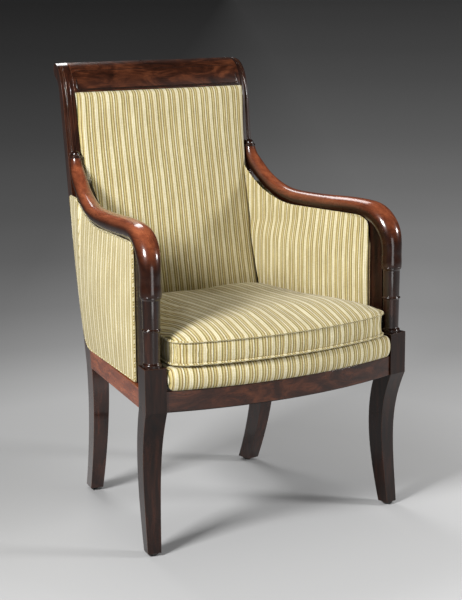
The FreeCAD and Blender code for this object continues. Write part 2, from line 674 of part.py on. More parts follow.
def panel_upright():
    """Upright board behind the turned post, tenoned into the side rail and the arm."""
    outline = [Vector(UPRIGHT_INNER, s, z) for s, z in upright_outline()]
    board = prism(outline, Vector(UPRIGHT_OUTER - UPRIGHT_INNER, 0, 0)).cut(arm_blank(JOINT_GAP))
    board = nearest_solid(board, Vector(0, UPRIGHT_BACK, BLOCK_TOP))
    board = board.fuse([upright_tenon(), upright_tenon(0.0, True)]).removeSplitter()
    return board.cut(tuck_tenon(False, JOINT_GAP))


def tuck_rail():
    """Slim rail above the seat rail, where the inside arm cover is pulled through and tacked."""
    reach = stile_front_at(TUCK_RAIL_BOTTOM) + STILE_SEAT_HALF_WIDTH
    low = (UPRIGHT_INNER, UPRIGHT_BACK, TUCK_RAIL_BOTTOM)
    high = (UPRIGHT_OUTER, reach, TUCK_RAIL_BOTTOM + TUCK_RAIL_HEIGHT)
    rail = nearest_solid(box(low, high).cut(behind_stile_front()), ORIGIN)
    return rail.fuse([tuck_tenon(False), tuck_tenon(True)]).removeSplitter()


def below_arm(inner, outer, front, bottom):
    """The flat shape of an arm panel: straight front and bottom, its top just under the arm's centre line."""
    tops = []
    for edge, start_radius, end_radius in arm_path()[1:]:
        for share in (0.0, 0.5):
            parameter = edge.FirstParameter + share * (edge.LastParameter - edge.FirstParameter)
            centre = edge.valueAt(parameter)
            tangent = edge.tangentAt(parameter)
            drop = ARM_TUCK_SHARE * (start_radius + share * (end_radius - start_radius))
            tops.append(Vector(inner, centre.y + tangent.z * drop, centre.z - tangent.y * drop))
    tops = [Vector(inner, front, tops[0].z)] + [top for top in tops if top.y > front]
    rear = Vector(inner, FAR, tops[-1].z)
    corners = [rear, Vector(inner, FAR, bottom), Vector(inner, front, bottom), tops[0]]
    edges = [curve(tops[1:]), line(tops[0], tops[1]), line(tops[-1], rear)]
    edges += [line(a, b) for a, b in zip(corners, corners[1:])]
    return Part.Face(Part.Wire(Part.__sortEdges__(edges))).extrude(Vector(outer - inner, 0, 0))


def ahead_of(edge_points, margin):
    """All the space in front of an edge of the stile, less a margin, as (t, s, z)."""
    edge = [Vector(-FAR, s - margin, z) for s, z in edge_points]
    corners = [edge[-1], Vector(-FAR, -FAR, edge[-1].z), Vector(-FAR, -FAR, edge[0].z), edge[0]]
    edges = [curve(edge)] + [line(a, b) for a, b in zip(corners, corners[1:])]
    return Part.Face(Part.Wire(edges)).extrude(Vector(2 * FAR, 0, 0))


def arm_panel_rear_margin():
    """How far ahead of the stile the inside of an arm panel ends, beside the inside back."""
    return BACK_PAD_EDGE_PROUD + ARM_PAD_REAR_GAP


def arm_hessian():
    """Hessian across the arm from the upright to the stile, from the tuck rail to the arm."""
    outer = UPRIGHT_INNER - SOFT_GAP
    sheet = below_arm(outer - HESSIAN_THICK, outer, PANEL_FRONT, TUCK_RAIL_BOTTOM)
    return sheet.cut(arm_blank(SOFT_GAP)).common(ahead_of(front_edge_points(), arm_panel_rear_margin()))


def arm_pad_crown():
    """A large ball that gives the pad its crown, with the pad's edges drawn in."""
    span = (stile_front_at(PAD_BOTTOM) - PANEL_FRONT) / 2
    fall = PAD_CROWN_THICK - PAD_EDGE_THICK
    radius = (span**2 + fall**2) / (2 * fall)
    middle = (PAD_BOTTOM + ARM_LEVEL - ARM_LEVEL_THICK_RADIUS) / 2
    return Part.makeSphere(radius, Vector(PAD_CROWN_FACE + radius, PANEL_FRONT + span, middle))


def inside_arm_pad():
    """Inside arm upholstery with its crown, stopping clear of the inside back."""
    pad = below_arm(PAD_CROWN_FACE, PAD_FACE, PANEL_FRONT, PAD_BOTTOM)
    pad = pad.cut([arm_blank(SOFT_GAP), front_waste(PANEL_FRONT)])
    return pad.common(ahead_of(front_edge_points(), arm_panel_rear_margin())).common(arm_pad_crown())


def clear_of_back(panel, back, gap):
    """An arm panel, as set in the chair, that stops a gap in front of the inside back."""
    ahead = back.copy()
    ahead.translate(Vector(0, -gap, 0))
    return nearest_solid(panel.cut([ahead, back]), plan_point(0, PANEL_FRONT, PAD_BOTTOM))


def arm_underside(s):
    """Height of the arm's underside at s, level at first and then up the rise."""
    beyond = max(0.0, s - ARM_RISE_START)
    climb = ARM_RISE_RADIUS - math.sqrt(max(0.0, ARM_RISE_RADIUS**2 - beyond**2))
    return ARM_LEVEL - ARM_LEVEL_THICK_RADIUS + climb


def corner_waste(s, z, radius, back, up):
    """What comes off a panel to round a corner about (s, z), towards back and up as 1 or -1."""
    low = (-FAR, min(s, s + back * FAR), min(z, z + up * FAR))
    high = (FAR, max(s, s + back * FAR), max(z, z + up * FAR))
    return box(low, high).cut(Part.makeCylinder(radius, 2 * FAR, Vector(-FAR, s, z), Vector(1, 0, 0)))


def front_waste(front):
    """Rounds the upper front corner of an arm panel that starts at front."""
    top = arm_underside(front)
    return corner_waste(front + PANEL_FRONT_ROUND, top - PANEL_FRONT_ROUND, PANEL_FRONT_ROUND, -1, 1)


def cover_rear_waste(bottom):
    """Rounds the outside cover's lower rear corner."""
    z = bottom + COVER_REAR_ROUND
    s = stile_back_at(z) - COVER_REAR_MARGIN - COVER_REAR_ROUND
    return corner_waste(s, z, COVER_REAR_ROUND, 1, -1)


def outside_arm_cover():
    """Wadded outside arm cover from the upright to near the stile's back edge, laid over the stile's side."""
    bottom = RAIL_SHOW_TOP + SOFT_GAP
    span = SCROLL_CENTRE[0] - COVER_FRONT
    stations = [COVER_FRONT + span * number / COVER_SECTIONS for number in range(COVER_SECTIONS + 1)]
    sheet = Part.makeLoft([cover_section(s, bottom) for s in stations], True)
    outline = below_arm(UPRIGHT_INNER, FAR, COVER_FRONT, bottom)
    cover = sheet.common(outline).common(ahead_of(back_edge_points(), COVER_REAR_MARGIN))
    above = box((-FAR, -FAR, COVER_REAR_TOP), (FAR, FAR, FAR))
    upright = box((UPRIGHT_INNER, 0, bottom), (UPRIGHT_OUTER + SOFT_GAP, UPRIGHT_BACK + SOFT_GAP, ARM_LEVEL))
    waste = [above, upright, arm_blank(SOFT_GAP), stile_blank(SOFT_GAP), front_waste(COVER_FRONT),
             cover_rear_waste(bottom)]
    return nearest_solid(cover.cut(waste), Vector(UPRIGHT_OUTER, COVER_FRONT, BLOCK_TOP))


def cover_section(s, bottom):
    """An upright section across the outside cover, crowned between the rail and the arm."""
    seat_front = stile_front_at(RAIL_SHOW_TOP)
    across = min(1.0, (s - COVER_FRONT) / (seat_front - COVER_FRONT))
    under = arm_underside(s)
    on_stile = s > stile_front_at(min(under, COVER_REAR_TOP))
    low = UPRIGHT_OUTER + across * (STILE_SEAT_HALF_WIDTH - UPRIGHT_OUTER) + SOFT_GAP
    tucked = max(UPRIGHT_OUTER, arm_drift(s) + COVER_TUCK)
    high = (stile_half_at(under) + stile_lean_at(under) if on_stile else tucked) + SOFT_GAP
    swell = COVER_CROWN * math.sin(math.pi * (s - COVER_FRONT) / (SCROLL_CENTRE[0] - COVER_FRONT))
    rise = (high - low) / (under - bottom)
    face = []
    for share in (0.0, 0.25, 0.5, 0.75, 1.0, 1.25):
        z = bottom + share * (under - bottom)
        base = low + rise * (z - bottom) + COVER_THICK
        face.append(Vector(base + max(0.0, swell * math.sin(math.pi * share)), s, z))
    inner_low = Vector(low, s, bottom)
    inner_high = Vector(face[-1].x - COVER_THICK, s, face[-1].z)
    return Part.Wire([line(inner_low, inner_high), line(inner_high, face[-1]), curve(face[::-1]),
                      line(face[0], inner_low)])


# Cross pieces

def bow_section_point(ahead, z):
    """A point of a section across the bowed front, given as its distance in front of the bow's face and z."""
    return Vector(0, BOW_CENTRE_Y - BOW_RADIUS - ahead, z)


def bow_turn(edges):
    """Carries a section across the bowed front round the seat's front."""
    sweep = math.degrees(math.asin(FRONT_POST_HALF_SPACING / BOW_RADIUS))
    face = Part.Face(Part.Wire(edges))
    face.rotate(Vector(0, BOW_CENTRE_Y, 0), UP, -sweep)
    return face.revolve(Vector(0, BOW_CENTRE_Y, 0), UP, 2 * sweep)


def beyond_blocks(gap):
    """The space outside the leg blocks' inner faces, grown inwards by a gap."""
    right = placed(box((-BLOCK_HALF - gap, -FAR, 0), (FAR, FAR, FAR)))
    return [right, mirrored(right)]


def front_rail():
    """Bowed front rail with a rebate for the seat upholstery, tenoned into the leg blocks."""
    section = [(0, RAIL_BOTTOM), (0, RAIL_SHOW_TOP), (-FRONT_RAIL_SHOW_THICK, RAIL_SHOW_TOP),
               (-FRONT_RAIL_SHOW_THICK, RAIL_LEDGE_TOP), (-FRONT_RAIL_THICK, RAIL_LEDGE_TOP),
               (-FRONT_RAIL_THICK, RAIL_BOTTOM)]
    points = [bow_section_point(ahead, z) for ahead, z in section + section[:1]]
    edges = [line(a, b) for a, b in zip(points, points[1:])]
    rail = middle_solid(bow_turn(edges).cut(beyond_blocks(0.0)))
    return tenoned_both_ways(rail, placed(front_rail_tenon()))


def rear_rail_front():
    return across_y(stile_front_at(TENON_MID_Z)) + REAR_RAIL_SETBACK


def rear_rail_tenon(grow=0.0):
    root_s = stile_front_at(TENON_MID_Z) + REAR_RAIL_SETBACK + REAR_RAIL_THICK / 2
    return stile_tenon(root_s, TENON_MID_Z, BACK_TENON_THICK, RAIL_TENON_HEIGHT, BACK_TENON_LENGTH, grow)


def rear_rail():
    """Rear seat rail with a ledge, tenoned into the stiles."""
    front = rear_rail_front()
    show = box((-FAR, front, RAIL_BOTTOM), (FAR, front + REAR_RAIL_THICK, RAIL_SHOW_TOP))
    ledge = box((-FAR, front, RAIL_BOTTOM), (FAR, front + REAR_RAIL_LEDGE_THICK, RAIL_LEDGE_TOP))
    rail = show.fuse(ledge).removeSplitter().common(between_stiles(0.0))
    return tenoned_both_ways(rail, rear_rail_tenon())


def back_tuck_rail_middle():
    z = BACK_TUCK_RAIL_BOTTOM + BACK_TUCK_RAIL_HEIGHT / 2
    return stile_front_at(z) + BACK_TUCK_RAIL_SETBACK + BACK_TUCK_RAIL_THICK / 2, z


def back_tuck_tenon(grow=0.0):
    s, z = back_tuck_rail_middle()
    height = BACK_TUCK_RAIL_HEIGHT - BACK_TENON_THICK
    return stile_tenon(s, z, BACK_TENON_THICK, height, BACK_TENON_LENGTH, grow)


def back_tuck_rail():
    """Rail low in the back, where the inside back cover is pulled through and tacked."""
    s, z = back_tuck_rail_middle()
    half = BACK_TUCK_RAIL_THICK / 2
    body = box((-FAR, across_y(s) - half, BACK_TUCK_RAIL_BOTTOM),
               (FAR, across_y(s) + half, BACK_TUCK_RAIL_TOP))
    return tenoned_both_ways(body.common(between_stiles(0.0)), back_tuck_tenon())


def crest_tenon(grow=0.0):
    z = (CREST_TENON_BOTTOM + CREST_TENON_TOP) / 2
    s = (stile_front_at(z) + stile_back_at(CREST_TENON_BOTTOM)) / 2
    taper = STILE_SEAT_HALF_WIDTH - STILE_TOP_HALF_WIDTH
    return stile_tenon(s, z, CREST_TENON_THICK, CREST_TENON_HEIGHT, CREST_TENON_LENGTH + taper, grow)


def crest_rail():
    """Rolled-back crest between the stiles, of the same profile as their tops."""
    above = box((-FAR, -FAR, CREST_BOTTOM), (FAR, FAR, FAR))
    rail = across_profile(0.0).common(above).common(between_stiles(0.0))
    return tenoned_both_ways(rail, crest_tenon())


def back_stile():
    """Right stile with its mortises, as set in the chair."""
    mortises = [placed(canted_cut) for canted_cut in
                (side_rail_tenon(True, JOINT_GAP), tuck_tenon(True, JOINT_GAP), arm_screw(JOINT_GAP))]
    mortises += [rear_rail_tenon(JOINT_GAP), back_tuck_tenon(JOINT_GAP), crest_tenon(JOINT_GAP)]
    nail_depth = GLIDE_NAIL_LENGTH + MORTISE_END_GAP
    mortises.append(placed(Part.makeCylinder(GLIDE_NAIL_RADIUS + JOINT_GAP, nail_depth, stile_foot_centre())))
    mortises += [placed(groove) for groove in stile_reeds()]
    return placed(stile_blank()).cut(mortises)


# Feet

def leg_foot_centre():
    s = (LEG_FRONT_EDGE[-1][0] + LEG_BACK_EDGE[0][0]) / 2
    return Vector((LEG_FOOT_INNER + LEG_FOOT_OUTER) / 2, s, GLIDE_HEIGHT)


def stile_foot_centre():
    s = (STILE_FRONT_EDGE[0][0] + STILE_BACK_EDGE[-1][0]) / 2
    return Vector(STILE_FOOT_OUTWARD + stile_lean_at(GLIDE_HEIGHT), s, GLIDE_HEIGHT)


def glide(centre):
    """A domed metal glide with its nail, standing under a foot."""
    shoulder = GLIDE_HEIGHT / 2
    profile = [(GLIDE_FLAT_RADIUS, 0.0), (GLIDE_RADIUS, shoulder), (GLIDE_RADIUS, GLIDE_HEIGHT),
               (GLIDE_NAIL_RADIUS, GLIDE_HEIGHT), (GLIDE_NAIL_RADIUS, GLIDE_HEIGHT + GLIDE_NAIL_LENGTH)]
    moved = turned(profile)
    moved.translate(Vector(centre.x, centre.y, 0))
    return placed(moved)


def foot_glides():
    pair = [glide(leg_foot_centre()), glide(stile_foot_centre())]
    return Part.makeCompound(pair + [mirrored(solid) for solid in pair])


# Corner blocks

def front_corner_block(rails, leg):
    """Notched brace across the front corner, between the front rail and the side rail."""
    outline = [(-CORNER_BLOCK_FAR, -BLOCK_HALF), (-CORNER_BLOCK_NEAR, -BLOCK_HALF),
               (0.0, CORNER_BLOCK_NEAR), (0.0, CORNER_BLOCK_FAR)]
    return corner_block(outline, rails + [leg])


def rear_corner_block(rails, stile):
    """Brace across the rear corner, between the side rail and the rear rail."""
    corner = stile_front_at(TENON_MID_Z)
    behind = corner + CORNER_BLOCK_NEAR
    outline = [(0.0, corner - CORNER_BLOCK_FAR), (0.0, corner - CORNER_BLOCK_NEAR / 2),
               (-CORNER_BLOCK_NEAR, behind), (-CORNER_BLOCK_FAR, behind)]
    return corner_block(outline, rails + [stile])


def corner_block(outline, neighbours):
    base = RAIL_BOTTOM + CORNER_BLOCK_LIFT
    block = placed(prism([Vector(t, s, base) for t, s in outline], Vector(0, 0, CORNER_BLOCK_HEIGHT)))
    centre = block.CenterOfMass
    return nearest_solid(block.cut(neighbours), centre)


def block_screw(entry, direction, grow=0.0):
    """Wood screw with its head at entry, driven along a direction."""
    shank = Part.makeCylinder(SCREW_RADIUS + grow, BLOCK_SCREW_LENGTH + grow, entry, direction)
    head_start = entry - direction * (SCREW_HEAD_HEIGHT + (BLOCK_SCREW_LENGTH if grow else 0.0))
    head_length = SCREW_HEAD_HEIGHT + (BLOCK_SCREW_LENGTH if grow else 0.0)
    head = Part.makeCylinder(SCREW_HEAD_RADIUS + grow, head_length, head_start, direction)
    return shank.fuse(head).removeSplitter()


def corner_screws(grow=0.0):
    """The screws of the right side's two corner blocks: one into each rail."""
    z = RAIL_BOTTOM + CORNER_BLOCK_LIFT + CORNER_BLOCK_HEIGHT / 2
    run = (CORNER_BLOCK_NEAR + CORNER_BLOCK_FAR) / 2
    into = BLOCK_SCREW_LENGTH - BLOCK_SCREW_BITE
    rail_inner = -SIDE_RAIL_HALF_THICK
    outwards = plan_point(1, 0, 0) - plan_point(0, 0, 0)
    corner = stile_front_at(TENON_MID_Z)
    front_x = FRONT_POST_HALF_SPACING - run
    front_inner = BOW_CENTRE_Y - math.sqrt((BOW_RADIUS - FRONT_RAIL_THICK)**2 - front_x**2)
    to_bow = Vector(front_x, front_inner - BOW_CENTRE_Y, 0).normalize()
    rear_x = plan_point(-run, corner, 0).x
    return [
        block_screw(plan_point(rail_inner - into, run, z), outwards, grow),
        block_screw(Vector(front_x, front_inner, z) - to_bow * into, to_bow, grow),
        block_screw(plan_point(rail_inner - into, corner - run, z), outwards, grow),
        block_screw(Vector(rear_x, rear_rail_front() - into, z), Vector(0, 1, 0), grow),
    ]


# Seat upholstery

def side_line_meets_bow(t, radius):
    """How far back the line at offset t meets a circle about the bow's centre."""
    start = plan_point(t, 0, 0)
    step = plan_point(t, 1, 0) - start
    to_start = start - Vector(0, BOW_CENTRE_Y, 0)
    half_b = to_start.dot(step)
    c = to_start.dot(to_start) - radius**2
    return -half_b - math.sqrt(half_b**2 - c)


def seat_slab(inset, side, rear_y, bottom, top):
    """A slab in the seat's plan: bowed front inset from the rail's face, offset sides, straight rear."""
    radius = BOW_RADIUS - inset
    right_front = plan_point(side, side_line_meets_bow(side, radius), bottom)
    back_s = (rear_y - side * math.sin(SPLAY)) / math.cos(SPLAY)
    right_rear = plan_point(side, back_s, bottom)
    left_front = Vector(-right_front.x, right_front.y, bottom)
    left_rear = Vector(-right_rear.x, right_rear.y, bottom)
    middle = Vector(0, BOW_CENTRE_Y - radius, bottom)
    edges = [arc(left_front, middle, right_front), line(right_front, right_rear), line(right_rear, left_rear),
             line(left_rear, left_front)]
    return Part.Face(Part.Wire(edges)).extrude(Vector(0, 0, top - bottom))


def seat_underside(bottom, top):
    """The area under the rails that webbing and dust cover may take, clear of the legs."""
    rear = rear_rail_front() + REAR_RAIL_THICK - WEBBING_EDGE_INSET
    slab = seat_slab(WEBBING_EDGE_INSET, SIDE_RAIL_HALF_THICK - WEBBING_EDGE_INSET, rear, bottom, top)
    leg_space = placed(box((-BLOCK_HALF - SOFT_GAP, -FAR, 0), (FAR, BLOCK_HALF + WEBBING_EDGE_INSET, FAR)))
    stile = placed(stile_blank(SOFT_GAP))
    return slab.cut([leg_space, mirrored(leg_space), stile, mirrored(stile)])


def webbing(lengthwise):
    """Straps under the seat rails, in one direction, cut to the rails."""
    top = RAIL_BOTTOM - (0.0 if lengthwise else WEBBING_THICK)
    area = seat_underside(top - WEBBING_THICK, top)
    half = WEBBING_WIDTH / 2
    straps = []
    for number in range(WEBBING_COUNT):
        shift = (number - (WEBBING_COUNT - 1) / 2) * WEBBING_PITCH
        if lengthwise:
            strap = box((shift - half, -FAR, 0), (shift + half, FAR, FAR))
        else:
            strap = box((-FAR, WEBBING_MID_Y + shift - half, 0), (FAR, WEBBING_MID_Y + shift + half, FAR))
        straps.append(middle_solid(area.common(strap)))
    return Part.makeCompound(straps)


def dust_cover():
    top = RAIL_BOTTOM - 2 * WEBBING_THICK
    return seat_underside(top - DUST_COVER_THICK, top)


def biarc(start, start_direction, end, end_direction):
    """Two tangent arcs between two points with given directions."""
    chord = end - start
    both = start_direction + end_direction
    a = 2 * (1 - start_direction.dot(end_direction))
    b = 2 * chord.dot(both)
    reach = (-b + math.sqrt(b * b + 4 * a * chord.dot(chord))) / (2 * a)
    first = start + start_direction * reach
    second = end - end_direction * reach
    joint = (first + second) * 0.5
    return [tangent_arc(start, first, joint), tangent_arc(joint, second, end)]


def tangent_arc(start, corner, end):
    """The arc that leaves start towards corner and reaches end from corner."""
    middle = (start + end) * 0.5
    share = (start - middle).Length / (start - corner).Length
    return Part.Arc(start, middle + (corner - middle) * (share / (1 + share)), end).toShape()


def spring_point(turn):
    """A point of the spring's centre line, and its direction, after so many turns."""
    low = RAIL_BOTTOM + SOFT_GAP + SPRING_WIRE_RADIUS
    high = SPRING_SEAT_TOP - SOFT_GAP - SPRING_WIRE_RADIUS
    share = 2 * turn / SPRING_TURNS - 1
    radius = SPRING_WAIST_RADIUS + (SPRING_END_RADIUS - SPRING_WAIST_RADIUS) * share * share
    radius_rate = (SPRING_END_RADIUS - SPRING_WAIST_RADIUS) * 4 * share / SPRING_TURNS / (2 * math.pi)
    angle = 2 * math.pi * turn
    rise_rate = (high - low) / SPRING_TURNS / (2 * math.pi)
    height = low + (high - low) * turn / SPRING_TURNS
    point = Vector(radius * math.cos(angle), radius * math.sin(angle), height)
    direction = Vector(radius_rate * math.cos(angle) - radius * math.sin(angle),
                       radius_rate * math.sin(angle) + radius * math.cos(angle), rise_rate)
    return point, direction.normalize()


def seat_spring():
    """One waisted coil spring, as an unbroken wire on quarter turns."""
    quarters = 4 * SPRING_TURNS
    edges = []
    for number in range(quarters):
        start, start_direction = spring_point(number / 4)
        end, end_direction = spring_point((number + 1) / 4)
        edges += biarc(start, start_direction, end, end_direction)
    start, direction = spring_point(0)
    section = Part.Wire(Part.makeCircle(SPRING_WIRE_RADIUS, start, direction))
    return Part.Wire(edges).makePipeShell([section], True, False)


def spring_gap():
    """Least clear gap between one turn of a spring and the next, measured on points of its centre line."""
    steps = 48
    points = [spring_point(number / steps)[0] for number in range(SPRING_TURNS * steps + 1)]
    apart = [points[i].distanceToPoint(points[j]) for i in range(len(points))
             for j in range(i + steps // 2, len(points))]
    return min(apart) - 2 * SPRING_WIRE_RADIUS


def seat_springs():
    """Springs that stand on every second crossing of the webbing."""
    spring = seat_spring()
    springs = []
    for column in range(SPRING_ROWS):
        for row in range(SPRING_ROWS):
            stand = spring.copy()
            offset = (SPRING_ROWS - 1) / 2
            x = (column - offset) * 2 * WEBBING_PITCH
            stand.translate(Vector(x, WEBBING_MID_Y + (row - offset) * 2 * WEBBING_PITCH, 0))
            springs.append(stand)
    return Part.makeCompound(springs)


def deck_rear_y():
    return across_y(stile_front_at(DECK_BOTTOM)) - DECK_REAR_CLEARANCE


def spring_hessian():
    bottom = RAIL_LEDGE_TOP
    sheet = seat_slab(FRONT_RAIL_SHOW_THICK, DECK_SIDE_OFFSET, deck_rear_y(), bottom, bottom + HESSIAN_THICK)
    blocks = beyond_blocks(SOFT_GAP)
    front = box((-FAR, -FAR, 0), (FAR, BLOCK_HALF + SOFT_GAP, FAR))
    return sheet.cut([space.common(front) for space in blocks])


def deck_roll():
    """The padded front roll above the rail: its face bulges, and its ends are rounded."""
    low = RAIL_SHOW_TOP + SOFT_GAP
    behind = -FRONT_RAIL_SHOW_THICK + SOFT_GAP
    corners = [(-DECK_ROLL_EDGE_ROUND, DECK_TOP), (-FRONT_RAIL_THICK, DECK_TOP),
               (-FRONT_RAIL_THICK, DECK_BOTTOM), (behind, DECK_BOTTOM), (behind, low),
               (-DECK_ROLL_EDGE_ROUND / 2, low)]
    points = [bow_section_point(ahead, z) for ahead, z in corners]
    bulge = bow_section_point(DECK_ROLL_BULGE, (low + DECK_TOP) / 2)
    edges = [line(a, b) for a, b in zip(points, points[1:])] + [arc(points[-1], bulge, points[0])]
    roll = middle_solid(bow_turn(edges).cut(beyond_blocks(DECK_ROLL_END_GAP)))
    return roll.common(roll_elevation())


def roll_elevation():
    """The roll's front view, with rounded corners, carried from front to back."""
    half = plan_point(-BLOCK_HALF - DECK_ROLL_END_GAP, -BLOCK_HALF, 0).x
    low = RAIL_SHOW_TOP
    high = DECK_TOP
    size = DECK_ROLL_EDGE_ROUND
    near = size * (1 - math.sqrt(0.5))

    def at(x, z):
        return Vector(x, -FAR, z)

    edges = [line(at(size - half, low), at(half - size, low)),
             arc(at(half - size, low), at(half - near, low + near), at(half, low + size)),
             line(at(half, low + size), at(half, high - size)),
             arc(at(half, high - size), at(half - near, high - near), at(half - size, high)),
             line(at(half - size, high), at(size - half, high)),
             arc(at(size - half, high), at(near - half, high - near), at(-half, high - size)),
             line(at(-half, high - size), at(-half, low + size)),
             arc(at(-half, low + size), at(near - half, low + near), at(size - half, low))]
    return Part.Face(Part.Wire(edges)).extrude(Vector(0, 2 * FAR, 0))


def seat_deck():
    """Tight seat under the cushion: a flat pad over the hessian, with a roll along the front."""
    pad = seat_slab(FRONT_RAIL_THICK, DECK_SIDE_OFFSET, deck_rear_y(), DECK_BOTTOM, DECK_TOP)
    front = box((-FAR, -FAR, 0), (FAR, BLOCK_HALF + SOFT_GAP, FAR))
    pad = pad.cut([space.common(front) for space in beyond_blocks(SOFT_GAP)])
    return pad.fuse(deck_roll()).removeSplitter()


# Loose cushion

def cushion_corners(inset, z):
    """The cushion's plan corners on the right: front and rear."""
    side = PAD_CROWN_FACE - CUSHION_SIDE_CLEARANCE - inset
    corner = []
    rear_y = back_pad_face(PAD_BOTTOM, 1.0) - CUSHION_REAR_CLEARANCE
    for y in (CUSHION_CORNER_Y + inset, rear_y - inset):
        s = (y - side * math.sin(SPLAY)) / math.cos(SPLAY)
        corner.append(plan_point(side, s, z))
    return corner


def cushion_outline(inset, z):
    """The cushion's plan outline: bowed front, straight sides and rear, four rounded corners."""
    front, rear = cushion_corners(inset, z)
    rise = CUSHION_CORNER_Y - CUSHION_FRONT_Y
    cut = CUSHION_CORNER_CUT
    bow_radius = (front.x**2 + rise**2) / (2 * rise)
    bow_middle = Vector(0, front.y - rise, z)
    side = (rear - front).normalize()
    on_front_x = front.x - cut
    on_front_y = bow_middle.y + bow_radius - math.sqrt(bow_radius**2 - on_front_x**2)
    on_front = Vector(on_front_x, on_front_y, z)
    on_side = front + side * cut
    low_side = rear - side * cut
    on_rear = rear - Vector(cut, 0, 0)

    def rounded(a, corner, b):
        return (a + b) * ((1 - CUSHION_CORNER_PULL) / 2) + corner * CUSHION_CORNER_PULL

    def left(point):
        return Vector(-point.x, point.y, point.z)

    front_round = rounded(on_front, front, on_side)
    rear_round = rounded(low_side, rear, on_rear)
    edges = [arc(left(on_front), bow_middle, on_front), arc(on_front, front_round, on_side),
             line(on_side, low_side), arc(low_side, rear_round, on_rear), line(on_rear, left(on_rear)),
             arc(left(on_rear), left(rear_round), left(low_side)), line(left(low_side), left(on_side)),
             arc(left(on_side), left(front_round), left(on_front))]
    return Part.Wire(edges)


def seat_cushion():
    """Boxed cushion: drawn-in border between two sewn edges, and a crowned top."""
    border_mid = (CUSHION_BOTTOM + CUSHION_WELT) / 2
    border = Part.makeLoft([cushion_outline(CUSHION_EDGE_ROUND, CUSHION_BOTTOM),
                            cushion_outline(0.0, CUSHION_BOTTOM + CUSHION_EDGE_ROUND),
                            cushion_outline(CUSHION_DRAW_IN, border_mid),
                            cushion_outline(0.0, CUSHION_WELT)], True)
    rings = []
    for share in CUSHION_CROWN_STEPS:
        inset = CUSHION_TOP_INSET * share * share
        rings.append(cushion_outline(inset, CUSHION_WELT + CUSHION_CROWN * math.sin(share * math.pi / 2)))
    crown = Part.makeLoft(rings, True)
    return border.fuse(crown)


# Back upholstery

def back_pad_face(z, share):
    """Y of the inside back's face at a height, share 0 at its sides and 1 at its middle."""
    low = PAD_BOTTOM
    high = CREST_BOTTOM
    rise = math.sin(math.pi * (z - low) / (high - low))
    crown = BACK_PAD_END_CROWN + (BACK_PAD_CROWN - BACK_PAD_END_CROWN) * rise
    return across_y(stile_front_at(z)) - BACK_PAD_EDGE_PROUD - share * crown


def back_pad():
    """Inside back: crowned across its width and height, set between the stiles."""
    high = CREST_BOTTOM - SOFT_GAP
    sections = []
    for number in range(BACK_PAD_SECTIONS):
        z = PAD_BOTTOM + (high - PAD_BOTTOM) * number / (BACK_PAD_SECTIONS - 1)
        rear = across_y(stile_front_at(z)) + 2 * BACK_PAD_BEHIND_FACE
        edge = back_pad_face(z, 0.0)
        inner = stile_lean_at(z) - stile_half_at(z)
        half = plan_point(inner, stile_front_at(z) - BACK_PAD_EDGE_PROUD, z).x
        left_rear = Vector(-half, rear, z)
        right_rear = Vector(half, rear, z)
        left_front = Vector(-half, edge, z)
        right_front = Vector(half, edge, z)
        crown = Vector(0, back_pad_face(z, 1.0), z)
        sections.append(Part.Wire([line(left_rear, right_rear), line(right_rear, right_front),
                                   arc(right_front, crown, left_front), line(left_front, left_rear)]))
    behind = across_profile(BACK_PAD_BEHIND_FACE)
    return Part.makeLoft(sections, True).cut(behind).common(between_stiles(SOFT_GAP))


def across_profile(shift):
    """The stiles' profile carried right across the chair, moved back by shift."""
    half = FRONT_POST_HALF_SPACING
    edges = stile_edges(lambda s, z: Vector(-half, across_y(s) + shift, z))
    return Part.Face(Part.Wire(edges)).extrude(Vector(2 * half, 0, 0))


def back_sheet(behind, thick, bottom, top):
    """A sheet between the stiles that follows their front edge, set behind it."""
    sheet = across_profile(behind).cut(across_profile(behind + thick))
    ahead = box((-FAR, -FAR, bottom), (FAR, across_y(SCROLL_CENTRE[0]), top))
    band = sheet.common(ahead).common(between_stiles(SOFT_GAP))
    return min(band.Solids, key=lambda solid: solid.CenterOfMass.y)


def back_hessian():
    behind = BACK_PAD_BEHIND_FACE + SOFT_GAP
    return back_sheet(behind, HESSIAN_THICK, BACK_TUCK_RAIL_BOTTOM, CREST_BOTTOM - SOFT_GAP)


def back_webbing(upright):
    """Straps behind the back hessian, upright or across."""
    behind = BACK_PAD_BEHIND_FACE + 2 * SOFT_GAP + HESSIAN_THICK
    if not upright:
        behind += WEBBING_THICK + SOFT_GAP
    half = WEBBING_WIDTH / 2
    bottom = BACK_TUCK_RAIL_TOP + SOFT_GAP
    sheet = back_sheet(behind, WEBBING_THICK, bottom, CREST_BOTTOM - SOFT_GAP)
    straps = []
    count = BACK_WEB_COLUMNS if upright else BACK_WEB_ROWS
    for number in range(count):
        if upright:
            middle = (number - (count - 1) / 2) * BACK_WEB_COLUMN_PITCH
            strap = box((middle - half, -FAR, 0), (middle + half, FAR, FAR))
        else:
            middle = BACK_TUCK_RAIL_TOP + BACK_WEB_FIRST_ROW_RISE + number * BACK_WEB_ROW_PITCH
            strap = box((-FAR, -FAR, middle - half), (FAR, FAR, middle + half))
        straps += sheet.common(strap).Solids
    return Part.makeCompound(straps)


def outside_back_cover():
    """Outside back cover between the stiles, close to their back edge."""
    sheet = across_profile(-OUTSIDE_BACK_INSET).cut(across_profile(-OUTSIDE_BACK_INSET - COVER_THICK))
    low = (-FAR, across_y(STILE_FRONT_EDGE[2][0]), RAIL_SHOW_TOP + SOFT_GAP)
    space = box(low, (FAR, FAR, CREST_BOTTOM - SOFT_GAP))
    band = sheet.common(space).common(between_stiles(SOFT_GAP))
    return max(band.Solids, key=lambda solid: solid.CenterOfMass.y)


# Assembly

